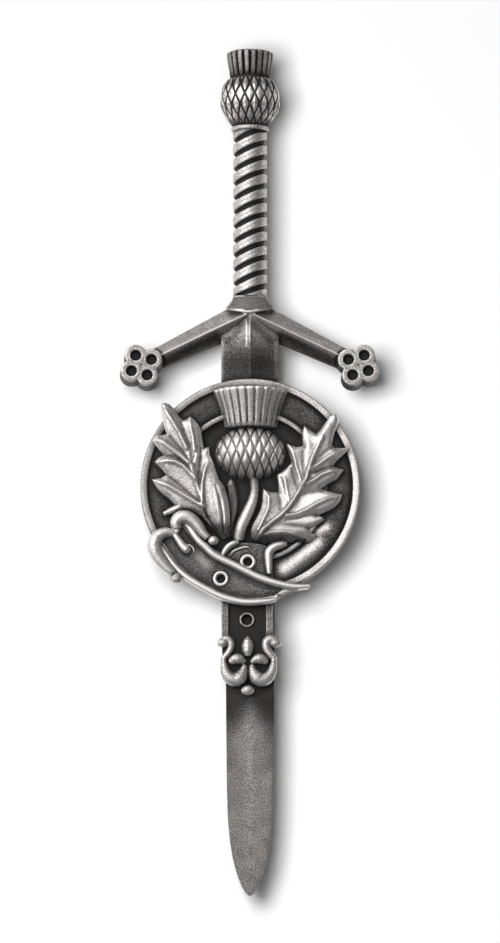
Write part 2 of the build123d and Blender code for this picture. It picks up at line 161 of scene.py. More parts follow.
def open_edit(piece: Piece) -> None:
    """Enters edit mode with nothing picked.

    Args:
        piece: the piece to open.
    """
    take_up(piece)
    bpy.ops.object.mode_set(mode="EDIT")
    bpy.ops.mesh.select_mode(type=Part.VERTEX.value)
    bpy.ops.mesh.select_all(action="DESELECT")


def close_edit() -> None:
    """Leaves edit mode."""
    bpy.ops.object.mode_set(mode="OBJECT")


def pick_all(part: Part | None = None) -> None:
    """Picks all of the open piece.

    Args:
        part: what the next step works on, or None to leave that as it is.
    """
    if part:
        bpy.ops.mesh.select_mode(type=part.value)
    bpy.ops.mesh.select_all(action="SELECT")


def pick(piece: Piece, part: Part, test: Callable) -> None:
    """Picks, in edit mode, only what passes a test.

    Args:
        piece: the piece in edit mode.
        part: vertices, edges or faces.
        test: gets a bmesh element and says whether it is picked.
    """
    bpy.ops.mesh.select_mode(type=part.value)
    bpy.ops.mesh.select_all(action="DESELECT")
    mesh = bmesh.from_edit_mesh(piece.data)
    parts = {Part.VERTEX: mesh.verts, Part.EDGE: mesh.edges, Part.FACE: mesh.faces}[part]
    for item in parts:
        if test(item):
            item.select_set(True)
    mesh.select_flush_mode()
    bmesh.update_edit_mesh(piece.data)


def middle(face: bmesh.types.BMFace) -> Vector:
    """Mean of a face's corners."""
    return sum((corner.co for corner in face.verts), Vector()) / len(face.verts)


def draw_out(step: Sequence[float]) -> None:
    """Draws what is picked out by a step, with new walls behind it."""
    bpy.ops.mesh.extrude_region_move(TRANSFORM_OT_translate={"value": step})


def stretch(factors: Size, about: Sequence[float]) -> None:
    """Scales what is picked about a point."""
    bpy.ops.transform.resize(value=factors, center_override=about)


def saw(at: Size, facing: Size, part_off: bool = False) -> None:
    """Cuts all of the open piece along a plane.

    Args:
        at: a point on the plane.
        facing: the plane's direction.
        part_off: True takes off what lies beyond the plane and closes the cut.
    """
    pick_all()
    bpy.ops.mesh.bisect(plane_co=at, plane_no=facing, use_fill=part_off, clear_outer=part_off)


def settle(piece: Piece, name: str) -> Piece:
    """Names a new piece and moves its place and size into its mesh.

    Args:
        piece: the new piece.
        name: its name.

    Returns:
        The same piece.
    """
    take_up(piece)
    bpy.ops.object.transform_apply(location=True, rotation=True, scale=True)
    piece.name = piece.data.name = name
    return piece


def block(name: str, place: Sequence[float], size: Size, turn: float = 0.0) -> Piece:
    """A box about a place.

    Args:
        name: the piece's name.
        place: its middle.
        size: its width, length and height.
        turn: how far it is turned about Z, in radians.

    Returns:
        The box.
    """
    bpy.ops.mesh.primitive_cube_add(size=1, location=place, rotation=(0, 0, turn))
    piece = bpy.context.object
    piece.scale = size
    return settle(piece, name)


def close_seams(piece: Piece) -> None:
    """Merges doubled vertices and turns every face outwards.

    Args:
        piece: the piece to close.
    """
    open_edit(piece)
    pick_all()
    bpy.ops.mesh.remove_doubles(threshold=SEAM)
    bpy.ops.mesh.normals_make_consistent(inside=False)
    close_edit()


def work(piece: Piece, kind: str, **settings: object) -> None:
    """Adds a modifier to a piece and applies it.

    Args:
        piece: the piece.
        kind: the modifier's type.
        settings: its settings by name.
    """
    take_up(piece)
    modifier = piece.modifiers.new(kind.title(), kind)
    for name, value in settings.items():
        setattr(modifier, name, value)
    bpy.ops.object.modifier_apply(modifier=modifier.name)


def join(name: str, pieces: Sequence[Piece]) -> Piece:
    """Joins pieces into one object.

    Args:
        name: the whole's name.
        pieces: what is joined, which becomes part of the first.

    Returns:
        The whole.
    """
    take_up(pieces[0])
    for piece in pieces:
        piece.select_set(True)
    bpy.ops.object.join()
    pieces[0].name = pieces[0].data.name = name
    return pieces[0]


def cast_whole(piece: Piece, grain: float, passes: int) -> None:
    """Fuses overlapping pieces into one skin, with the soft inner corners of a casting."""
    work(piece, "REMESH", mode="VOXEL", voxel_size=grain)
    work(piece, "SMOOTH", factor=0.5, iterations=passes)


def read_places(piece: Piece) -> np.ndarray:
    """Reads off where a piece's vertices are.

    Args:
        piece: the piece.

    Returns:
        Their places, a row for each.
    """
    flat = np.empty(len(piece.data.vertices) * 3, np.float32)
    piece.data.vertices.foreach_get("co", flat)
    return flat.reshape(-1, 3).astype(float)


def reshape(piece: Piece, move: Move) -> None:
    """Moves every vertex by a rule, as strokes of a file or punch do.

    Args:
        piece: the piece to work.
        move: gets the vertices' x, y and z in millimetres, and changes them in place.
    """
    places = read_places(piece)
    move(*places.T)
    piece.data.vertices.foreach_set("co", places.astype(np.float32).ravel())
    piece.data.update()


def smooth_shaded(piece: Piece, angle: float) -> None:
    """Shades a piece smooth, but sharp where faces meet at more than an angle in degrees."""
    take_up(piece)
    bpy.ops.object.shade_smooth_by_angle(angle=math.radians(angle))


def drawn_line(name: str, points: Sequence[Vector]) -> Piece:
    """Draws one vertex out point by point, and leaves the piece open.

    Args:
        name: the piece's name.
        points: the places it is drawn through.

    Returns:
        The piece, in edit mode.
    """
    seed = 0.01
    bpy.ops.mesh.primitive_plane_add(size=seed, location=points[0])
    piece = settle(bpy.context.object, name)
    open_edit(piece)
    pick_all()
    bpy.ops.mesh.merge(type="CENTER")
    for before, after in zip(points, points[1:]):
        draw_out(after - before)
    return piece


def drawn_outline(name: str, points: Sequence[Vector]) -> Piece:
    """A flat face: a line drawn out, closed and filled.

    Args:
        name: the piece's name.
        points: its corners.

    Returns:
        The face.
    """
    sheet = drawn_line(name, points)
    bpy.ops.mesh.select_all(action="DESELECT")
    mesh = bmesh.from_edit_mesh(sheet.data)
    mesh.verts.ensure_lookup_table()
    for end in (0, len(points) - 1):
        mesh.verts[end].select_set(True)
    bmesh.update_edit_mesh(sheet.data)
    bpy.ops.mesh.edge_face_add()
    pick_all()
    bpy.ops.mesh.edge_face_add()
    close_edit()
    return sheet


def cut_plate(name: str, points: Sequence[Vector], top: float) -> Piece:
    """A plate cut to an outline.

    Args:
        name: the piece's name.
        points: its corners, on the level of its underside.
        top: the height of its face.

    Returns:
        The plate.
    """
    plate = drawn_outline(name, points)
    open_edit(plate)
    pick_all()
    draw_out((0, 0, top - points[0].z))
    close_edit()
    close_seams(plate)
    return plate


def rod(name: str, points: Sequence[Vector], widths: Sequence[float], sides: int = 4) -> Piece:
    """A bent round rod through some points.

    Args:
        name: the piece's name.
        points: places that its middle line passes through.
        widths: its thickness at each point.
        sides: steps in a quarter of its round.

    Returns:
        The rod as a closed mesh.
    """
    curve = bpy.data.curves.new(name, "CURVE")
    curve.dimensions = "3D"
    curve.bevel_depth = 1.0
    curve.bevel_resolution = sides
    curve.resolution_u = 8
    curve.use_fill_caps = True
    spline = curve.splines.new("BEZIER")
    spline.bezier_points.add(len(points) - 1)
    for knot, place, width in zip(spline.bezier_points, points, widths, strict=True):
        knot.co = place
        knot.radius = width / 2
        knot.handle_left_type = knot.handle_right_type = "AUTO"
    piece = bpy.data.objects.new(name, curve)
    bpy.context.scene.collection.objects.link(piece)
    take_up(piece)
    bpy.ops.object.convert(target="MESH")
    close_seams(bpy.context.object)
    return bpy.context.object


def pearl(name: str, place: Vector, size: Size) -> Piece:
    """A round or oval bead.

    Args:
        name: the piece's name.
        place: its middle.
        size: its width, length and height.

    Returns:
        The bead.
    """
    bpy.ops.mesh.primitive_uv_sphere_add(segments=32, ring_count=20, radius=0.5, location=place)
    bead = bpy.context.object
    bead.scale = size
    return settle(bead, name)


@dataclass(frozen=True)
class Wire:
    """A round wire bent along a line of the photo."""

    name: str
    line: Line
    widths: tuple[float, ...]
    rise: float = 0.0

    def bend(self, level: float) -> Piece:
        """The wire, as far above a level as it rises."""
        return rod(self.name, photo.line(self.line, level + self.rise), self.widths)


@dataclass(frozen=True)
class Bead:
    """A bead at a point of the photo."""

    name: str
    pixel: Point
    size: Size
    rise: float = 0.0

    def set_on(self, level: float) -> Piece:
        """The bead, as far above a level as it rises."""
        return pearl(self.name, photo.place(self.pixel, level + self.rise), self.size)


def turned(name: str, profile: Sequence[Point], centre: Vector, steps: int, axis: Vector) -> Piece:
    """A body of revolution: a profile drawn out from one vertex and spun.

    Args:
        name: the piece's name.
        profile: distance from the axis and place along it, from one end of the axis to the other.
        centre: where the axis starts.
        steps: faces round the turn.
        axis: the axis's direction, at right angles to X.

    Returns:
        The closed turned piece.
    """
    piece = drawn_line(name, [centre + Vector((r, 0, 0)) + axis * a for r, a in profile])
    pick_all()
    bpy.ops.mesh.spin(steps=steps, angle=math.tau, center=centre, axis=axis)
    close_edit()
    close_seams(piece)
    return piece


@dataclass(frozen=True)
class PatinaAndLight:
    """Patina, wear and painted light and shade along a line of the photo: darker where its depth is
    above zero, lighter where it is below.
    """

    line: Line
    reach: float
    depth: float

    def marks(self, x: Values, y: Values) -> Values:
        """How much each place is darkened.

        Args:
            x, y: the places.

        Returns:
            The patina at each.
        """
        spots = photo.flat(self.line, PATINA_AND_LIGHT_LEVEL)
        far = off_point(x, y, spots[0]) if len(spots) == 1 else away_from(x, y, spots)[0]
        return self.depth * np.exp(-((far / (self.reach * photo.across)) ** 2))


def stain(piece: Piece, rule: Rule | float, spots: Sequence[PatinaAndLight] = ()) -> None:
    """Adds to the dark patina, and to the painted light and shade, that each vertex carries.

    Args:
        piece: the piece.
        rule: works out the patina from x, y and z, or is the same patina for all.
        spots: lines of the photo with patina, wear and painted light and shade, added to it.
    """
    x, y, z = read_places(piece).T
    marks = rule(x, y, z) if callable(rule) else np.full(len(x), rule)
    marks = marks + sum(spot.marks(x, y) for spot in spots)
    layer = piece.data.attributes.get("stain")
    if layer:
        old = np.empty(len(x), np.float32)
        layer.data.foreach_get("value", old)
        marks = marks + old
    else:
        layer = piece.data.attributes.new("stain", "FLOAT", "POINT")
    layer.data.foreach_set("value", np.clip(marks, -1, 1.5).astype(np.float32))


def step_up(value: Values, low: float, high: float) -> Values:
    """Smooth step from 0 at low to 1 at high."""
    t = np.clip((value - low) / (high - low), 0, 1)
    return t * t * (3 - 2 * t)


def rounded(distance: Values, width: float) -> Values:
    """Height of a quarter-round edge: 0 at the edge, 1 from a width inwards."""
    t = 1 - np.clip(distance / width, 0, 1)
    return np.sqrt(1 - t * t)


def off_point(x: Values, y: Values, point: Sequence[float]) -> Values:
    """Distance from a point, seen from the front."""
    return np.linalg.norm(np.stack((x, y), axis=1) - np.array(point), axis=1)


def in_hole(x: Values, y: Values, hole: Sequence[float], low: float, high: float) -> Values:
    """1 as near to a hole's middle as low, and 0 as far from it as high."""
    return 1 - step_up(off_point(x, y, hole), low, high)


def away_from(x: Values, y: Values, line: np.ndarray) -> tuple[Values, Values, Values]:
    """Distance of places from a line of points, seen from the front.

    Args:
        x, y: the places.
        line: x, y of each point of the line.

    Returns:
        The distance, how far along the line the nearest point lies, from 0 to 1, and the side,
        which is 1 straight to the left of the line's direction and -1 straight to its right.
    """
    places = np.stack((x, y), axis=1)
    best = np.full(len(places), 1e9)
    share = np.zeros(len(places))
    side = np.zeros(len(places))
    lengths = np.linalg.norm(line[1:] - line[:-1], axis=1)
    total = lengths.sum()
    run = 0.0
    for start, end, length in zip(line[:-1], line[1:], lengths):
        step = end - start
        off = places - start
        t = np.clip((off @ step) / (length * length), 0, 1)
        far = np.linalg.norm(off - t[:, None] * step, axis=1)
        turn = (step[0] * off[:, 1] - step[1] * off[:, 0]) / (length * np.maximum(far, 1e-6))
        nearer = far < best
        best = np.where(nearer, far, best)
        share = np.where(nearer, (run + t * length) / total, share)
        side = np.where(nearer, np.clip(turn, -1, 1), side)
        run += length
    return best, share, side


@dataclass
class Pommel:
    """The pommel: a whole thistle head in the round, on a collar."""

    node: str = "thistle_pommel"
    bulb_width: float = 7.0
    collar_width: float = 4.5
    collar_height: float = 0.7
    neck_width: float = 4.9
    neck_height: float = 0.6
    crown_height: float = 2.9
    scales_round: int = 18
    rows: int = 3
    scale_length: float = 2.62
    scale_phase: float = 1.48
    groove: float = 0.11
    scale_rise: float = 0.22
    ribs: int = 20
    rib_depth: float = 0.3
    overlap: float = 0.1
    groove_soil: float = 0.75
    bulb_soil: float = -0.26
    crown_soil: float = 0.52
    patina_and_light: tuple[PatinaAndLight, ...] = (
        # Painted highlight on the upper middle of the bulb
        PatinaAndLight(((242, 96), (254, 95)), 7, -0.24),
        PatinaAndLight(((226, 80), (272, 80)), 7, 0.35),
        PatinaAndLight(((228, 123), (272, 123)), 9, 0.3),
    )
    bulb_profile: Line = (
        (0.4, 1.95), (0.75, 2.12), (1.0, 2.3), (1.5, 2.68), (2.46, 3.2), (3.2, 3.4), (3.8, 3.42),
        (4.6, 3.36), (5.3, 3.18), (5.8, 2.95), (6.1, 2.75), (6.3, 2.5),
    )
    collar_round: Line = (
        (0.12, 0.0), (0.02, 0.06), (0.0, 0.16), (0.01, 0.42), (0.08, 0.52), (0.3, 0.6),
    )
    crown_profile: Line = (
        (0.0, 2.3), (0.1, 2.42), (0.7, 2.48), (1.3, 2.6), (2.0, 2.72), (2.6, 2.79), (2.85, 2.78),
        (2.98, 2.62),
    )

    def bulb(self, low_y: float, foot: float, top: float, axis_z: float) -> Piece:
        """The bulb's skin of diamond scales, all round the axis.

        Args:
            low_y: y of the whole pommel's lower end, from which the profile is measured.
            foot: y of the bulb's lower end.
            top: y of its upper end.
            axis_z: height of the axis.

        Returns:
            The bulb.
        """
        radius = self.bulb_width / 2
        depth = self.rows * self.scale_length
        start = low_y + self.scale_phase - self.scale_length
        bpy.ops.mesh.primitive_cylinder_add(
            vertices=self.scales_round,
            radius=radius,
            depth=depth,
            end_fill_type="NOTHING",
            location=(0, start + depth / 2, axis_z),
            rotation=(math.pi / 2, math.pi / self.scales_round, 0),
        )
        bulb = settle(bpy.context.object, "bulb")
        open_edit(bulb)
        for row in range(1, self.rows):
            saw((0, start + row * self.scale_length, 0), (0, 1, 0))
        diamonds(bulb)
        close_edit()
        raise_scales(bulb, self.groove, self.scale_rise)
        stain(bulb, lambda x, y, z: groove_stain(np.hypot(x, z - axis_z) - radius, self.scale_rise))
        open_edit(bulb)
        for limit, side in ((foot, -1), (top, 1)):
            saw((0, limit, 0), (0, side, 0), True)
        close_edit()
        marks = np.array(self.bulb_profile)

        def swell(x: Values, y: Values, z: Values) -> None:
            """Draws each ring in to the bulb's profile.

            Args:
                x, y, z: the bulb's vertices, which it moves.
            """
            scale = np.interp(y - low_y, marks[:, 0], marks[:, 1]) / radius
            x *= scale
            z[:] = axis_z + (z - axis_z) * scale

        reshape(bulb, swell)
        return bulb

    def build(self) -> Piece:
        """Turns the collar, neck and crown, and adds the scaled bulb.

        Returns:
            The pommel.
        """
        low, high = node_box(self.node)
        axis_z = (low.z + high.z) / 2
        crown_foot = high.y - self.crown_height
        top = crown_foot - self.neck_height
        collar, neck = self.collar_width / 2, self.neck_width / 2
        bulb = self.bulb(low.y, low.y + self.collar_height, top + 0.15, axis_z)
        end = crown_foot - low.y + self.overlap
        profile = [(0.0, 0.0)] + [(collar - inset, y) for inset, y in self.collar_round]
        profile += [(collar - self.collar_round[-1][0], self.collar_height + 0.2)]
        profile += [(neck - 0.4, top - low.y), (neck - 0.3, end), (0.0, end)]
        core = turned("core", profile, Vector((0, low.y, axis_z)), 64, Vector((0, 1, 0)))
        crown = fluted_crown(
            Vector((0, crown_foot - self.overlap, axis_z)), self.ribs, self.rib_depth,
            self.groove_soil, self.crown_profile,
        )
        piece = join("pommel", [core, bulb, crown])
        smooth_shaded(piece, 50)

        def dark(x: Values, y: Values, z: Values) -> Values:
            """Patina on the crown, and little of it on the bulb."""
            return self.bulb_soil + self.crown_soil * step_up(y, crown_foot - 0.2, crown_foot)

        stain(piece, dark, self.patina_and_light)
        return piece


def diamonds(piece: Piece) -> None:
    """Turns a net of square faces, in edit mode, into a net of diamonds.

    Args:
        piece: the open net.
    """
    pick_all(Part.EDGE)
    count = len(bmesh.from_edit_mesh(piece.data).verts)
    bpy.ops.mesh.poke()
    bmesh.from_edit_mesh(piece.data).verts.index_update()

    def inner_side(edge: bmesh.types.BMEdge) -> bool:
        """True for a side of the old squares that has a face on each side."""
        return all(v.index < count for v in edge.verts) and len(edge.link_faces) == 2

    pick(piece, Part.EDGE, inner_side)
    bpy.ops.mesh.dissolve_edges(use_verts=False)


def raise_scales(piece: Piece, groove: float, rise: float) -> None:
    """Sets each diamond off with a narrow groove, raises it and rounds its top.

    Args:
        piece: the net of diamonds.
        groove: width of the grooves.
        rise: how far the diamonds stand proud of them.
    """
    open_edit(piece)
    pick_all(Part.FACE)
    bpy.ops.mesh.normals_make_consistent(inside=False)
    for width, depth in ((0.28, 0.0), (0.72, 0.62), (1.5, 0.26), (1.2, 0.12)):
        bpy.ops.mesh.inset(thickness=groove * width, depth=rise * depth, use_individual=True)
    close_edit()
    work(piece, "SUBSURF", subdivision_type="SIMPLE", levels=2, render_levels=2)
    work(piece, "SMOOTH", factor=0.5, iterations=2)


def groove_stain(rise: Values, full: float) -> Values:
    """Patina left in the grooves between scales, from how far the skin stands proud of them."""
    return 1 - step_up(rise, 0.15 * full, 0.68 * full)


def fluted_crown(
    foot: Vector, ribs: int, depth: float, soil: float, stations: Sequence[Point]
) -> Piece:
    """A crown of upright ribs: a ribbed disc drawn out along Y through some widths.

    Args:
        foot: middle of the crown's foot.
        ribs: ribs round the whole crown.
        depth: depth of the grooves between the ribs.
        soil: patina left in the grooves.
        stations: distance above the foot, and radius there.

    Returns:
        The crown.
    """
    steps = 8
    bpy.ops.mesh.primitive_circle_add(
        vertices=ribs * steps, radius=1.0, fill_type="NGON", location=foot,
        rotation=(math.pi / 2, 0, 0),
    )
    crown = settle(bpy.context.object, "crown")
    open_edit(crown)
    pick_all(Part.FACE)
    first = stations[0][1]
    stretch((first, 1, first), foot)
    for (before, old), (after, new) in zip(stations, stations[1:]):
        draw_out((0, after - before, 0))
        stretch((new / old, 1, new / old), foot + Vector((0, after, 0)))
    for dip in (-0.1, -0.05):
        bpy.ops.mesh.inset(thickness=0.25, depth=dip)
    close_edit()
    close_seams(crown)

    def between(x: Values, z: Values) -> Values:
        """0 on a rib, and 1 in the middle of the groove between two ribs."""
        turn = np.arctan2(z - foot.z, x - foot.x) * ribs / math.tau
        return step_up(np.abs(2 * (turn - np.floor(turn)) - 1), 0.5, 1.0)

    def flute(x: Values, y: Values, z: Values) -> None:
        """Sinks the grooves between the ribs.

        Args:
            x, y, z: the crown's vertices, which it moves.
        """
        off_x, off_z = x - foot.x, z - foot.z
        radius = np.hypot(off_x, off_z)
        sink = depth * between(x, z) * step_up(radius, 0.9, 2.0)
        scale = (radius - sink) / np.maximum(radius, 1e-6)
        x[:] = foot.x + off_x * scale
        z[:] = foot.z + off_z * scale

    reshape(crown, flute)
    tip_y, tip_radius = foot.y + stations[-1][0], stations[-1][1]

    def dark(x: Values, y: Values, z: Values) -> Values:
        """Patina between the ribs and on the crown's flat end."""
        end = (np.hypot(x - foot.x, z - foot.z) < tip_radius - 0.15) & (y > tip_y - 0.5)
        return np.where(end, 0.7, soil * between(x, z))

    stain(crown, dark)
    return crown


@dataclass
class Grip:
    """The grip: a round bar with two right-handed spiral grooves."""

    node: str = "twisted_grip"
    lead: float = 3.5
    groove_share: float = 0.36
    groove_depth: float = 0.34
    groove_walls: Point = (0.09, 0.05)
    groove_soil: float = 1.2
    soil_depths: Point = (0.16, 0.3)
    crest_depth: float = 0.06
    crest_place: float = 0.72
    crest_round: Point = (0.15, 0.36)
    starts: int = 2
    steeper: float = 0.167
    sides: int = 88
    rows: int = 150

    def build(self) -> Piece:
        """Draws out a notched bar and twists it.

        Returns:
            The grip.
        """
        low, high = node_box(self.node)
        axis_z = (low.z + high.z) / 2
        length = high.y - low.y
        radius = (high.x - low.x) / 2
        bpy.ops.mesh.primitive_cylinder_add(
            vertices=self.sides, radius=radius, depth=length, end_fill_type="NGON",
            location=(0, 0, 0),
        )
        bar = settle(bpy.context.object, "grip")
        open_edit(bar)
        pick(bar, Part.EDGE, lambda edge: abs(edge.verts[0].co.z - edge.verts[1].co.z) > length / 2)
        bpy.ops.mesh.subdivide(number_cuts=self.rows)
        close_edit()

        def notch(x: Values, y: Values, z: Values) -> None:
            """Sinks a straight groove for each start, with steep walls.

            Args:
                x, y, z: the bar's vertices, which it moves.
            """
            turn = np.arctan2(y, x) / math.tau * self.starts
            off = np.abs(turn - np.round(turn)) * 2
            inner, outer = self.groove_walls
            inside = 1 - step_up(off, self.groove_share - inner, self.groove_share + outer)
            crest = self.crest_depth * step_up(np.abs(off - self.crest_place), *self.crest_round)
            scale = (radius - self.groove_depth * inside - crest * (1 - inside)) / radius
            scale = np.where(np.hypot(x, y) > radius / 2, scale, 1)
            x *= scale
            y *= scale

        reshape(bar, notch)
        start, full = (depth - radius for depth in self.soil_depths)
        stain(bar, lambda x, y, z: self.groove_soil * step_up(-np.hypot(x, y), start, full))
        work(
            bar, "SIMPLE_DEFORM", deform_method="TWIST", deform_axis="Z",
            angle=math.tau * length / self.lead,
        )
        bar.rotation_euler = (-math.pi / 2, 0, 0)
        bar.location = (0, (low.y + high.y) / 2, axis_z)
        settle(bar, "grip")

        def lean(x: Values, y: Values, z: Values) -> None:
            """Lets the grooves rise steeper across front and back than at the sides."""
            ends = step_up(y, low.y, low.y + 1) * step_up(-y, -high.y, 1 - high.y)
            y += self.steeper * np.sin(2 * np.arctan2(x, z - axis_z)) * ends

        reshape(bar, lean)
        smooth_shaded(bar, 60)
        return bar


@dataclass
class Blade:
    """The blade: a flat bar with a soft middle ridge, bevelled edges and a curved point."""

    node: str = "blade"
    bevel: float = 0.015
    ridge: float = 0.035
    bevel_width: float = 0.15
    ridge_half: float = 0.7
    ridge_fade: Point = (24, 34)
    stub: float = 0.1
    soil: float = 0.19
    shade: float = 0.5
    shade_rows: Point = (-33.0, -28.0)
    shade_sag: float = 2.4
    shade_half: float = 1.1
    edge_soil: float = 0.08
    edge_width: float = 0.2
    edge_fade: Point = (28, 36)
    rows: int = 150
    face_lines: tuple[float, ...] = (0.0, 0.3, 0.6, 0.9, 1.3, 1.8, 2.3, 2.6, 2.75)
    stations: Line = (
        (10.6, 2.9), (-20.0, 2.9), (-28.0, 2.86), (-38.0, 2.76), (-41.5, 2.66), (-44.2, 2.42),
        (-46.3, 2.1), (-47.7, 1.75), (-48.9, 1.37), (-50.0, 0.92), (-50.7, 0.5), (-51.0, 0.12),
    )
    patina_and_light: tuple[PatinaAndLight, ...] = (
        PatinaAndLight(((250, 722), (250, 775), (252, 860)), 7, -0.06),
        PatinaAndLight(((243, 800), (250, 885)), 20, 0.02),
        PatinaAndLight(((248.5, 728), (249, 748), (251.5, 776)), 1.6, -0.07),
        PatinaAndLight(((227, 700), (228, 760)), 7, 0.1),
        PatinaAndLight(((271, 700), (271, 760)), 7, 0.12),
    )

    def build(self) -> Piece:
        """Draws the bar out along its stations and files its face.

        Returns:
            The blade.
        """
        low, high = node_box(self.node)
        axis_z = (low.z + high.z) / 2
        start, width = self.stations[0]
        stub_size = (2 * width, self.stub, high.z - low.z)
        bar = block("sword_blade", (0, start - self.stub / 2, axis_z), stub_size)
        open_edit(bar)
        pick(bar, Part.FACE, lambda face: face.normal.y < -0.9)
        place = start - self.stub
        for y, half in self.stations[1:]:
            draw_out((0, y - place, 0))
            stretch((half / width, 1, 1), (0, y, axis_z))
            place, width = y, half
        for line in self.face_lines:
            for side in (1, -1):
                saw((side * line, 0, 0), (1, 0, 0))
        for cut in np.linspace(high.y - 0.4, low.y + 1.0, self.rows):
            saw((0, cut, 0), (0, 1, 0))
        close_edit()
        ys, halves = np.array(self.stations[::-1]).T

        def file_face(x: Values, y: Values, z: Values) -> None:
            """Files the bevels and leaves a soft ridge down the middle of the front.

            Args:
                x, y, z: the blade's vertices, which it moves.
            """
            off = np.abs(x)
            fade = step_up(y, low.y, low.y + 6) * step_up(-y, *self.ridge_fade)
            rise = self.ridge * np.exp(-((off / self.ridge_half) ** 2))
            inwards = (np.interp(y, ys, halves) - off) / self.bevel_width
            drop = self.bevel * (1 - np.clip(inwards, 0, 1))
            z += np.where(z > axis_z, rise * fade - drop, 0)

        reshape(bar, file_face)
        smooth_shaded(bar, 30)

        def dark(x: Values, y: Values, z: Values) -> Values:
            """Darker below the disc, further down at the sides, and along the edges.

            Args:
                x, y, z: the blade's vertices.

            Returns:
                The patina on each.
            """
            off = np.abs(x)
            sag = self.shade_sag * np.exp(-((off / self.shade_half) ** 2))
            shade = self.shade * step_up(y - sag, *self.shade_rows)
            edge = np.clip((np.interp(y, ys, halves) - off) / self.edge_width, 0, 1)
            return self.soil + shade + self.edge_soil * (1 - edge) * step_up(-y, *self.edge_fade)

        stain(bar, dark, self.patina_and_light)
        return bar

    def even_edges(self, bar: Piece) -> None:
        """Takes the rubbed look off the blade's edges, which are no brighter than its face."""
        marks = bar.data.attributes["ridge"].data
        marks.foreach_set("value", np.zeros(len(marks), np.float32))


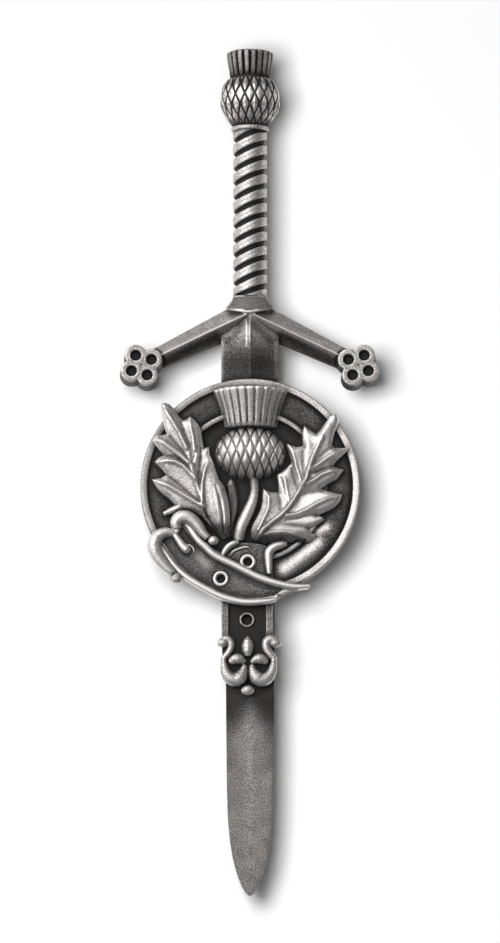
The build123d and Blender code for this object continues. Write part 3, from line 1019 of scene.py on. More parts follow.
@dataclass
class Guard:
    """The cross guard: drooping roof-shaped arms, hub, langet and a quatrefoil on each arm."""

    node: str = "cross_guard"
    droop: float = 25.9
    north_width: float = 2.26
    south_width: float = 1.85
    narrowing: float = 0.655
    edge_height: float = 1.1
    ridge_height: float = 2.9
    arm_reach: float = 13.2
    root_pixel: Point = (250, 312)
    langet_half: float = 3.45
    langet_side: float = 1.75
    langet_ridge: float = 2.7
    langet_start: float = 2.6
    langet_steps: Line = ((4.5, 0.92), (6.5, 0.95))
    langet_end: float = 0.97
    hub_half: Line = ((2.0, 0.0), (2.12, 0.35), (2.5, 0.85), (2.85, 1.2), (2.85, 1.5))
    hub_rise: float = 4.0
    foil_place: Point = (12.98, 12.75)
    foil_pitch: float = 1.95
    lobe_radius: float = 1.3
    hole_radius: float = 0.64
    hole_depth: float = 0.7
    foil_height: float = 3.1
    foil_turn: float = math.radians(15.0)
    foil_draft: float = 0.14
    band_half: float = 0.36
    band_rise: float = 0.12
    band_start: float = 0.6
    band_fade: Point = (2.6, 4.2)
    foot_soil: float = 0.35
    foil_reach: Point = (3.1, 2.9)
    foil_soil: float = 0.02
    wall_soil: float = 0.5
    hole_soil: float = 0.52
    narrow_root: float = 0.72
    hub_lip: tuple[tuple[Point, float], ...] = (
        ((227.6, 308.5), 2.35), ((238, 310), 2.7), ((249, 311.3), 2.85), ((260, 310), 2.7),
        ((270.3, 308.5), 2.35),
    )
    lip_widths: tuple[float, ...] = (0.3, 0.36, 0.4, 0.36, 0.3)
    grain: float = 0.09
    patina_and_light: tuple[PatinaAndLight, ...] = (
        PatinaAndLight(((234, 362), (264, 362)), 20, 0.72),
        PatinaAndLight(((221, 379), (278, 379)), 6, 0.35),
        # Painted shade on the arms' lower facets, which face away from the light
        PatinaAndLight(((216, 334.5), (167, 359)), 5, 0.65),
        PatinaAndLight(((282, 334.5), (331, 359)), 5, 0.65),
        PatinaAndLight(((246, 320), (227, 339)), 4, 0.3),
        PatinaAndLight(((250, 320), (272, 339)), 4, 0.3),
        PatinaAndLight(((246, 312.5), (162, 353.5)), 1.8, -0.42),
        PatinaAndLight(((250, 312.5), (336, 353.5)), 1.8, -0.42),
        PatinaAndLight(((227.6, 308.5), (248, 311), (270.3, 308)), 1.8, -0.45),
        # Painted highlight on the middle of the hub
        PatinaAndLight(((242, 304), (252, 304)), 7, -0.25),
        PatinaAndLight(((245.5, 318), (246.2, 344)), 1.5, -0.45),
        PatinaAndLight(((251, 318), (250.5, 340)), 1.4, -0.3),
        PatinaAndLight(((222.5, 340), (222, 376)), 1.6, -0.2),
        PatinaAndLight(((275.5, 340), (276, 376)), 1.6, -0.2),
    )

    def arm(self, root: Vector) -> Piece:
        """The right arm: a roof-shaped section drawn out to the quatrefoil.

        Args:
            root: where its ridge starts, on the sword's axis.

        Returns:
            The arm.
        """
        south, ridge = self.south_width, self.ridge_height
        section = [
            (-south, 0.0), (self.north_width, 0.0), (self.north_width, self.edge_height),
            (0.0, ridge), (-south * 0.5, ridge - 1.15), (-south, self.edge_height),
        ]
        arm = drawn_outline("arm", [root + Vector((0, a, h)) for a, h in section])
        open_edit(arm)
        pick_all()
        turn = math.radians(self.droop)
        step = Vector((math.cos(turn), -math.sin(turn), 0)) * self.arm_reach
        draw_out(step)
        stretch((1, self.narrowing, 1), root + step)
        close_edit()
        close_seams(arm)
        return arm

    def quatrefoil(self, place: Vector) -> Piece:
        """One quatrefoil: four drafted lobes, cast together with a block between them.

        Args:
            place: its middle, on the level of its underside.

        Returns:
            The quatrefoil.
        """
        lobes = []
        for spot in self.foil_spots(place):
            bpy.ops.mesh.primitive_cone_add(
                vertices=48,
                radius1=self.lobe_radius + self.foil_draft,
                radius2=self.lobe_radius,
                depth=self.foil_height,
                location=spot + Vector((0, 0, self.foil_height / 2)),
            )
            lobe = settle(bpy.context.object, "lobe")
            open_edit(lobe)
            pick(lobe, Part.EDGE, lambda edge: min(v.co.z for v in edge.verts) > spot.z + 1)
            bpy.ops.mesh.bevel(offset=0.14, segments=2)
            close_edit()
            lobes.append(lobe)
        core = block(
            "block", place + Vector((0, 0, self.foil_height / 2 - 0.03)),
            (self.foil_pitch, self.foil_pitch, self.foil_height - 0.06), self.foil_turn,
        )
        return join("foil", [core] + lobes)

    def foil_spots(self, place: Vector) -> list[Vector]:
        """Middles of a quatrefoil's four lobes.

        Args:
            place: the quatrefoil's middle.

        Returns:
            The middles.
        """
        cos, sin = math.cos(self.foil_turn), math.sin(self.foil_turn)
        across = Vector((cos, sin, 0)) * self.foil_pitch / 2
        along = Vector((-sin, cos, 0)) * self.foil_pitch / 2
        return [place + across * i + along * j for i in (1, -1) for j in (1, -1)]

    def langet(self, root: Vector, end_y: float) -> Piece:
        """The langet: a low roof drawn out along the blade.

        Args:
            root: where the arms' ridges meet, on the level of its underside.
            end_y: y of its lower end.

        Returns:
            The langet.
        """
        half, side = self.langet_half, self.langet_side
        section = [
            (-half, 0.0), (half, 0.0), (half, side), (0.0, self.langet_ridge), (-half, side),
        ]
        place = root.y - self.langet_start
        corners = [root + Vector((a, -self.langet_start, h)) for a, h in section]
        langet = drawn_outline("langet", corners)
        open_edit(langet)
        pick_all()
        steps = [(root.y - down, low) for down, low in self.langet_steps]
        for y, low in steps + [(end_y, self.langet_end)]:
            draw_out((0, y - place, 0))
            stretch((1, 1, low), (0, y, root.z))
            place = y
        close_edit()
        open_edit(langet)
        pick(langet, Part.FACE, lambda face: middle(face).y > root.y - self.langet_start - 0.01)
        draw_out((0, self.langet_start, 0))
        stretch((self.narrow_root, 1, 1), (0, root.y, root.z))
        close_edit()
        close_seams(langet)
        return langet

    def hub(self, top: Vector, base: float) -> Piece:
        """The hub: a flaring block under the grip, with a sloping top and a sharp lower edge.

        Args:
            top: where it meets the grip.
            base: height of its underside.

        Returns:
            The hub.
        """
        right = [Vector((x, top.y - drop, base)) for x, drop in self.hub_half]
        left = [Vector((-p.x, p.y, p.z)) for p in reversed(right)]
        hub = cut_plate("hub", right + left, base + self.hub_rise)
        work(hub, "REMESH", mode="VOXEL", voxel_size=self.grain)

        def slope(x: Values, y: Values, z: Values) -> None:
            """Slopes the hub's top down from the grip to its edge, and rounds it sideways."""
            roof = base + 3.95 - np.clip((top.y - y) / 1.5, 0, 1.1) - 0.07 * x**2
            z[:] = base + (roof - base) * ((z - base) / self.hub_rise)

        reshape(hub, slope)
        return hub

    def build(self) -> Piece:
        """Makes one arm with its quatrefoil, mirrors it, and adds hub and langet.

        Returns:
            The guard.
        """
        low, _ = node_box(self.node)
        disc_z = node_box("belt_disc")[0].z
        disc_r, disc_y = disc_round()
        root = photo.place(self.root_pixel, low.z + self.ridge_height)
        root.z = low.z
        foil_place = Vector((*self.foil_place, low.z))
        half = join("half_guard", [self.arm(root), self.quatrefoil(foil_place)])
        work(half, "MIRROR", use_axis=(True, False, False), use_mirror_merge=False)
        close_seams(half)
        hub = self.hub(Vector((0, node_box("twisted_grip")[0].y, 0)), low.z)
        lip = [photo.place(pixel, low.z + height) for pixel, height in self.hub_lip]
        edge = rod("hub_edge", lip, self.lip_widths)
        piece = join("guard", [half, self.langet(root, low.y - 0.1), hub, edge])
        cast_whole(piece, self.grain, 2)
        holes = [(side * s.x, s.y) for s in self.foil_spots(foil_place) for side in (1, -1)]
        hole = self.hole_radius

        def finish(x: Values, y: Values, z: Values) -> None:
            """Sinks the quatrefoils' holes, and lays the langet's end under the disc.

            Args:
                x, y, z: the guard's vertices, which it moves.
            """
            over = np.hypot(x, y - disc_y) < disc_r + 0.05
            z[:] = np.where(over, np.minimum(z, disc_z - 0.02), z)
            down = root.y - self.band_start - y
            band = 1 - step_up(np.abs(x + 0.2), self.band_half - 0.08, self.band_half + 0.04)
            band *= step_up(down, 0, 0.6) * (1 - step_up(down, *self.band_fade))
            z += np.where(z > low.z + 1.5, self.band_rise * band, 0)
            for spot in holes:
                sink = self.hole_depth * in_hole(x, y, spot, hole * 0.72, hole * 1.08)
                z -= np.where(z > low.z + self.foil_height - 0.5, sink, 0)

        reshape(piece, finish)
        smooth_shaded(piece, 60)

        def dark(x: Values, y: Values, z: Values) -> Values:
            """Patina in the quatrefoils' holes and low down on all the side walls.

            Args:
                x, y, z: the guard's vertices.

            Returns:
                The patina on each.
            """
            found = self.foot_soil * (1 - step_up(z, low.z + 0.2, low.z + 1.2))
            far = np.hypot(np.abs(x) - foil_place.x, y - foil_place.y)
            wall = self.wall_soil * (1 - step_up(z, low.z + 2.6, low.z + 2.95))
            found += step_up(far, *self.foil_reach) * (self.foil_soil + wall)
            for spot in holes:
                found += self.hole_soil * in_hole(x, y, spot, hole * 0.85, hole * 1.05)
            return found

        stain(piece, dark, self.patina_and_light)
        return piece


@dataclass
class BeltDisc:
    """The disc: floor, ring of belt with raised edges, crossing strap and the tail's upper end."""

    node: str = "belt_disc"
    rim_width: float = 0.84
    inner_radius: float = 9.3
    inner_width: float = 0.6
    floor: float = 0.7
    belt: float = 1.25
    belt_swell: float = 0.2
    rim: float = 1.7
    strap_base: float = 0.9
    strap_rise: float = 0.35
    strap_swell: float = 0.2
    strap_soil: float = 0.98
    tail_base: float = 0.6
    tail_rise: float = 0.08
    tail_soil: float = 0.75
    border_rise: float = 0.04
    hole_soil: float = 0.6
    floor_soil: float = 0.75
    belt_soil: float = 0.58
    wall_soil: float = 0.45
    back_soil: float = 0.3
    inner_edge_soil: float = 0.16
    rim_soil: float = -0.03
    eyelet_rises: Point = (0.16, 0.12)
    prong_eyelet_rise: float = 0.06
    prong_eyelet_size: Point = (1.75, 0.24)
    hole_radius: float = 0.55
    grain: float = 0.08
    upper_edge: Line = (
        (182, 520), (189, 527), (194, 534), (200, 541.5), (205, 546), (214.2, 554.5), (232.7, 564),
        (247.5, 571.5), (260.4, 577.6), (274.2, 582.2), (288.1, 585.4), (300, 586.6),
        (309.8, 585.8),
    )
    upper_widths: tuple[float, ...] = (
        0.55, 0.78, 0.94, 0.98, 0.98, 0.96, 0.94, 0.92, 0.9, 0.87, 0.82, 0.72, 0.52,
    )
    lower_edge: Line = (
        (160, 545), (166, 554), (175, 566), (185, 575.5), (196, 583), (205, 588), (218.9, 595.1),
        (232.7, 599.7), (246.6, 602), (260.4, 601.6), (269.6, 600.6), (275.8, 599.2),
    )
    lower_widths: tuple[float, ...] = (
        0.55, 0.7, 0.82, 0.88, 0.92, 0.92, 0.92, 0.92, 0.88, 0.82, 0.7, 0.5,
    )
    strap_end: Line = ((309, 587.6), (301.5, 588.6), (293.8, 590.3), (284, 593.6))
    end_nub: Point = (277, 596.5)
    eyelets: Line = ((221, 578.5), (247.9, 561.7))
    prong_eyelet: Point = (187.5, 551)
    tail_outline: Line = (
        (224, 592), (224, 556), (228, 549.5), (233, 545), (241, 544), (262, 546), (270, 549),
        (272.8, 556), (272.8, 592),
    )
    tail_wires: tuple[Wire, ...] = (
        Wire(
            "right_border",
            ((287, 543.8), (282, 544.5), (277, 545.8), (272, 548.3), (269, 552.6), (268.7, 558),
             (269, 566), (269.3, 574)),
            (0.5, 0.9, 1.05, 1.12, 1.1, 1.0, 0.85, 0.55),
            0.12,
        ),
        Wire(
            "left_border",
            ((222.5, 555.5), (225, 550.5), (229, 546), (234, 543), (239, 542)),
            (0.5, 0.75, 0.8, 0.7, 0.4),
            0.08,
        ),
        Wire(
            "fold",
            ((230, 555.4), (232.7, 551.7), (239.2, 548.5), (247.5, 547.1), (251, 549.5)),
            (0.2, 0.28, 0.28, 0.26, 0.15),
            -0.02,
        ),
    )
    belt_patina_and_light: tuple[PatinaAndLight, ...] = (
        # Painted highlight on the belt's swell at the lower right, where it faces the light, and a
        # painted shade along its lower edge
        PatinaAndLight(((318, 542), (300, 556), (284, 568)), 6, -1.0),
        PatinaAndLight(((312, 532), (326, 526)), 5.5, -0.9),
        PatinaAndLight(((330, 545), (312, 568)), 4, 0.15),
        PatinaAndLight(((247.9, 561.7),), 6, 0.7),
        PatinaAndLight(((296, 400), (310, 410)), 6, -0.1),
        PatinaAndLight(((336, 470), (340, 500)), 6, -0.08),
    )
    strap_patina_and_light: tuple[PatinaAndLight, ...] = (
        # Painted highlights where the strap's swelling face catches the light
        PatinaAndLight(((201, 557), (207, 565)), 6, -0.42),
        PatinaAndLight(((236, 582), (246, 590)), 6, -0.16),
        PatinaAndLight(((254, 588), (262, 592)), 4, -0.12),
        PatinaAndLight(((272, 589), (294, 590)), 5, 0.12),
        PatinaAndLight(((278, 597), (286, 594), (296, 591)), 2.6, 0.75),
    )

    def ring(self, centre: Vector, radius: float) -> Piece:
        """The turned disc with its recess, its swelling belt and its raised edges.

        Args:
            centre: the disc's middle, on the level of its back.
            radius: the disc's radius.

        Returns:
            The ring.
        """
        inner, floor, rim = self.inner_radius, self.floor, self.rim
        edge = radius - self.rim_width
        bore = inner - self.inner_width
        profile = [(r, 0.0) for r in np.linspace(0, radius - 0.12, 12)]
        profile += [(radius, 0.12), (radius, rim - 0.26), (radius - 0.04, rim - 0.1)]
        profile += [(radius - 0.14, rim), (edge + 0.12, rim), (edge + 0.04, rim - 0.06)]
        profile.append((edge, rim - 0.2))
        for step in np.linspace(0.0, 1.0, 16):
            r = (edge - 0.04) + step * (inner + 0.04 - (edge - 0.04))
            profile.append((r, self.belt + self.belt_swell * math.sin(math.pi * step) ** 0.8))
        profile += [(inner, rim - 0.2), (inner - 0.05, rim - 0.05), (inner - 0.13, rim)]
        profile += [(bore + 0.13, rim), (bore + 0.05, rim - 0.05), (bore, rim - 0.2)]
        profile.append((bore - 0.06, floor + 0.05))
        profile += [(r, floor) for r in np.linspace(bore - 0.15, 0.0, 40)]
        ring = turned("disc", profile, centre, 256, Vector((0, 0, 1)))
        rim_z = centre.z + rim

        def dark(x: Values, y: Values, z: Values) -> Values:
            """Patina on the recess and the belt's face, but little on the raised edges and back.

            Args:
                x, y, z: the ring's vertices.

            Returns:
                The patina on each.
            """
            far = np.hypot(x, y - centre.y)
            deep = 1 - step_up(z, rim_z - 0.16, rim_z - 0.05)
            face = np.where(far < bore, self.floor_soil, self.belt_soil)
            bright = np.where(far < inner + 0.1, self.inner_edge_soil, self.rim_soil)
            wall = step_up(far, radius - 0.03, radius) > 0.5
            front = np.where(wall, self.wall_soil, deep * face + (1 - deep) * bright)
            return np.where(z < centre.z + 0.3, self.back_soil, front)

        stain(ring, dark, self.belt_patina_and_light)

        def clear_eyelet(x: Values, y: Values, z: Values) -> None:
            """Cuts the inner edge away under the tail's upper end, where its hole opens.

            Args:
                x, y, z: the ring's vertices, which it moves.
            """
            across, up = x + 0.2, y - centre.y
            under = (np.abs(across) < 2.6) & (up < 0) & (np.hypot(across, up) < inner + 0.1)
            z[:] = np.where(under, np.minimum(z, centre.z + floor), z)

        reshape(ring, clear_eyelet)
        return ring

    def strap(self, base: float, top: float) -> Piece:
        """The crossing strap with its raised borders and its eyelet hole.

        Args:
            base: height of its underside.
            top: height of its face.

        Returns:
            The strap.
        """
        upper = photo.line(self.upper_edge, top)
        lower = photo.line(self.lower_edge, top)
        end = photo.line(self.strap_end, top)
        drop = Vector((0, 0, base - top))
        plate = cut_plate("strap", [p + drop for p in upper[:-1] + end + lower[::-1]], top)
        bars = [
            rod("border", [p + Vector((0, 0, self.border_rise)) for p in line], widths)
            for line, widths in ((upper, self.upper_widths), (lower, self.lower_widths))
        ]
        nub = pearl("nub", photo.place(self.end_nub, top), (0.6, 0.6, 0.5))
        piece = join("strap", [plate, nub] + bars)
        cast_whole(piece, self.grain, 1)
        borders = flattened(upper), flattened(lower + end[::-1])
        hole = photo.place(self.eyelets[0], top).xy
        sides = self.hole_radius * 0.8, self.hole_radius * 1.1

        def inwards(x: Values, y: Values) -> Values:
            """Distance from the nearer border."""
            return np.minimum(*(away_from(x, y, line)[0] for line in borders))

        def crown(x: Values, y: Values, z: Values) -> None:
            """Swells the strap's face a little between its borders, and sinks the hole.

            Args:
                x, y, z: the strap's vertices, which it moves.
            """
            lift = self.strap_swell * step_up(inwards(x, y), 0.45, 1.7)
            lift -= EYELET_DEPTH * in_hole(x, y, hole, *sides)
            z += np.where(z > top - NEAR_FACE, lift, 0)

        reshape(piece, crown)

        def dark(x: Values, y: Values, z: Values) -> Values:
            """Patina on the strap's face and in its hole, but not on its borders."""
            face = self.strap_soil * step_up(inwards(x, y), 0.45, 0.55)
            return face + self.hole_stain(x, y, hole) - 0.52

        stain(piece, dark, self.strap_patina_and_light)
        return piece

    def hole_stain(self, x: Values, y: Values, hole: Sequence[float]) -> Values:
        """Patina in an eyelet hole."""
        floor, mouth = self.hole_radius * 0.9, self.hole_radius * 1.15
        return self.hole_soil * in_hole(x, y, hole, floor, mouth)

    def upper_tail(self, base: float, top: float) -> Piece:
        """The tail's upper end above the strap, with its curled borders and eyelet hole.

        Args:
            base: height of its underside.
            top: height of its face.

        Returns:
            The tail's end.
        """
        plate = cut_plate("upper_tail", photo.line(self.tail_outline, base), top)
        piece = join("upper_tail", [plate] + [wire.bend(top) for wire in self.tail_wires])
        cast_whole(piece, self.grain, 1)
        hole = photo.place(self.eyelets[1], top).xy
        sink_hole(piece, hole, top, self.hole_radius * 0.8, self.hole_radius * 1.1)

        def dark(x: Values, y: Values, z: Values) -> Values:
            """Patina on the tail's face and in its hole, but not on its borders."""
            face = self.tail_soil * (1 - step_up(z, top + 0.04, top + 0.12))
            return face + self.hole_stain(x, y, hole) - 0.36

        stain(piece, dark)
        return piece

    def build(self) -> Piece:
        """Turns the ring and lays strap, tail end and eyelets on it.

        Returns:
            The disc.
        """
        low, _ = node_box(self.node)
        radius, centre_y = disc_round()
        rim_z = low.z + self.rim
        strap_z = rim_z + self.strap_rise
        ring = self.ring(Vector((0, centre_y, low.z)), radius)
        strap = self.strap(low.z + self.strap_base, strap_z)
        tail = self.upper_tail(low.z + self.tail_base, rim_z + self.tail_rise)
        rings = [
            eyelet("eyelet", photo.place(spot, z + rise))
            for spot, z, rise in zip(self.eyelets, (strap_z, rim_z), self.eyelet_rises)
        ]
        place = photo.place(self.prong_eyelet, strap_z + self.prong_eyelet_rise)
        rings.append(eyelet("prong_ring", place, *self.prong_eyelet_size))
        piece = join("belt_ring", [ring, strap, tail] + rings)
        smooth_shaded(piece, 45)
        return piece


def sink_hole(piece: Piece, hole: Sequence[float], top: float, low: float, high: float) -> None:
    """Sinks an eyelet hole into a face.

    Args:
        piece: the piece that carries it.
        hole: x and y of its middle.
        top: height of the face.
        low: radius of the hole's floor.
        high: radius of its mouth.
    """

    def sink(x: Values, y: Values, z: Values) -> None:
        """Lowers the face within the hole."""
        z -= np.where(z > top - NEAR_FACE, EYELET_DEPTH * in_hole(x, y, hole, low, high), 0)

    reshape(piece, sink)


def eyelet(name: str, place: Vector, across: float = 1.95, bar: float = 0.48) -> Piece:
    """The raised ring round an eyelet hole.

    Args:
        name: the ring's name.
        place: its middle.
        across: its outer width.
        bar: its thickness.

    Returns:
        The ring.
    """
    bpy.ops.mesh.primitive_torus_add(
        major_radius=across / 2 - bar / 2, minor_radius=bar / 2, major_segments=40,
        minor_segments=12, location=place,
    )
    ring = settle(bpy.context.object, name)
    stain(ring, -0.5)
    return ring


@dataclass
class Buckle:
    """The buckle: two curled bars that meet in a cusp, with beads, and the prong."""

    node: str = "buckle"
    level: float = 10.85
    grain: float = 0.07
    soil: float = -0.42
    wires: tuple[Wire, ...] = (
        Wire(
            "upper_bar",
            ((177.4, 528.9), (176.2, 522.8), (179.1, 518.4), (185.3, 517), (192.3, 520.1),
             (198.4, 526.3), (203.6, 533.3), (208, 537.6)),
            (1.1, 1.5, 1.68, 1.7, 1.58, 1.35, 1.05, 0.85),
        ),
        Wire(
            "lower_bar",
            ((174, 533), (165.8, 532.4), (158.8, 536), (155.2, 542), (155.1, 549.2), (158.5, 557),
             (164.3, 564.8), (170, 570.5), (173.5, 573)),
            (0.95, 1.3, 1.55, 1.75, 1.78, 1.62, 1.4, 1.15, 0.92),
            -0.1,
        ),
        Wire(
            "prong",
            ((173.9, 533.3), (178.3, 539.4), (182.6, 545.5), (187, 549.9)),
            (0.7, 0.8, 0.92, 1.04),
            -0.02,
        ),
    )
    beads: tuple[Bead, ...] = (
        Bead("bead", (213.3, 540.3), (1.3, 1.1, 0.95), -0.1),
        Bead("bead", (176.2, 577.9), (1.36, 1.36, 1.0), -0.2),
        Bead("prong_tip", (187, 549.9), (0.94, 0.94, 0.8), -0.02),
        Bead("bar_end", (177, 530.5), (0.8, 0.8, 0.7)),
    )
    patina_and_light: tuple[PatinaAndLight, ...] = (
        PatinaAndLight(((176, 578),), 6, 0.4),
        PatinaAndLight(((158, 538), (155, 550), (162, 565)), 5, 0.22),
    )

    def build(self) -> Piece:
        """Bends the bars, adds the beads and fuses them.

        Returns:
            The buckle.
        """
        parts = [wire.bend(self.level) for wire in self.wires]
        parts += [bead.set_on(self.level) for bead in self.beads]
        piece = join("strap_buckle", parts)
        cast_whole(piece, self.grain, 2)
        smooth_shaded(piece, 60)
        stain(piece, self.soil, self.patina_and_light)
        return piece


@dataclass
class Tail:
    """The belt's hanging tail with its raised borders, eyelet and scrolled tip."""

    node: str = "belt_tail"
    face: float = 1.0
    scroll_level: float = 1.5
    hook: Wire = Wire(
        "hook",
        ((222.6, 642.4), (224.5, 639.4), (227.5, 638.8), (230.3, 641.3), (231, 645.6),
         (229.6, 650.2), (226.8, 654.4), (224.2, 657.6), (223.6, 661)),
        (0.9, 0.9, 0.92, 0.9, 0.86, 0.84, 0.78, 0.68, 0.66),
    )
    hook_right: float = 1.25
    knob: Size = (1.32, 1.2, 1.1)
    crescent: Wire = Wire(
        "crescent",
        ((223.6, 660), (224.3, 666), (226.2, 672.5), (230.3, 677.6), (235.5, 679.3),
         (239.5, 677.3), (242.4, 673.3), (243.9, 668.8), (244.6, 664.5)),
        (0.66, 0.95, 1.25, 1.55, 1.64, 1.75, 1.45, 1.0, 0.6),
    )
    petal: Wire = Wire(
        "petal",
        ((232.3, 660.3), (234.5, 658.9), (237.5, 658.4), (240.5, 659.2), (243, 660.6),
         (245.3, 662.3)),
        (1.0, 1.2, 1.33, 1.15, 0.8, 0.4),
        0.1,
    )
    petal_end: Size = (1.0, 0.95, 0.9)
    leaf: Wire = Wire(
        "leaf",
        ((247.7, 635.6), (247.7, 640.5), (247.7, 646), (247.7, 651), (247.7, 656)),
        (0.25, 1.15, 1.5, 1.35, 0.8),
        -0.05,
    )
    tip: Bead = Bead("tip", (247.7, 689.5), (1.57, 1.25, 1.0), -0.1)
    plate: Line = (
        (221.5, 602), (273, 602), (273, 668), (270, 677), (262, 683), (254, 682), (247.7, 679),
        (242, 682), (234, 683), (227, 677), (222.5, 668),
    )
    border_x: tuple[float, ...] = (225.0, 269.7)
    border_y: Point = (606, 640)
    border_width: float = 0.84
    border_height: float = 0.7
    eyelet_size: Point = (1.85, 0.3)
    hole_radii: Point = (0.45, 0.62)
    grain: float = 0.075
    face_soil: float = 0.95
    border_soil: float = 0.32
    rubbed: float = 0.1
    eyelet_pixel: Point = (247, 619.5)
    scroll_pixel: Point = (248, 634)
    axis_pixel: float = 248.0
    right_wider: float = 1.06
    patina_and_light: tuple[PatinaAndLight, ...] = (PatinaAndLight(((247.7, 641), (247.7, 652)), 5, -0.15),)

    def pair(self, wire: Wire, fuller: float = 1.0) -> tuple[Wire, Wire]:
        """A wire, and its mirror image about the tail's axis, a little wider as in the photo.

        Args:
            wire: the left one.
            fuller: how much thicker the right one is.

        Returns:
            The left and the right wire.
        """
        axis, wider = self.axis_pixel, self.right_wider
        line = tuple((axis + (axis - x) * wider, y) for x, y in wire.line)
        return wire, replace(wire, line=line, widths=tuple(fuller * w for w in wire.widths))

    def build(self) -> Piece:
        """Cuts the strap, adds borders and eyelet, and bends the scrollwork on to it.

        Returns:
            The tail.
        """
        low, high = node_box(self.node)
        face_z = low.z + self.face
        level = low.z + self.scroll_level
        corners = photo.line(self.plate, low.z)
        corners[0].y = corners[1].y = high.y
        parts = [cut_plate("strap", corners, face_z)]
        for x in self.border_x:
            start, end = photo.line([(x, y) for y in self.border_y], face_z - 0.05)
            start.y = high.y - 0.05
            size = (self.border_width, start.y - end.y, self.border_height)
            parts.append(block("border", (start + end) / 2, size))
        for wire, fuller in zip(self.pair(self.hook, self.hook_right), (1.0, self.hook_right)):
            width, length, height = self.knob
            knob = Bead("knob", wire.line[0], (width * fuller, length, height))
            parts += [wire.bend(level), knob.set_on(level)]
        parts += [wire.bend(level) for wire in self.pair(self.crescent)]
        for wire in self.pair(self.petal):
            end = Bead("petal_end", wire.line[0], self.petal_end, wire.rise)
            parts += [wire.bend(level), end.set_on(level)]
        parts += [self.leaf.bend(level), self.tip.set_on(level)]
        place = photo.place(self.eyelet_pixel, face_z + 0.05)
        parts.append(eyelet("eyelet", place, *self.eyelet_size))
        piece = join("hanging_tail", parts)
        cast_whole(piece, self.grain, 1)
        sink_hole(piece, photo.place(self.eyelet_pixel, face_z).xy, face_z, *self.hole_radii)
        smooth_shaded(piece, 60)
        scroll_top = photo.place(self.scroll_pixel, level).y

        def dark(x: Values, y: Values, z: Values) -> Values:
            """Patina on the strap's face, less on its borders, none on the scrollwork.

            Args:
                x, y, z: the tail's vertices.

            Returns:
                The patina on each.
            """
            face = self.face_soil * (1 - step_up(z, face_z + 0.05, face_z + 0.2))
            border = self.border_soil * step_up(y, scroll_top - 0.3, scroll_top + 0.2)
            return np.maximum(face, border) - self.rubbed

        stain(piece, dark, self.patina_and_light)
        return piece


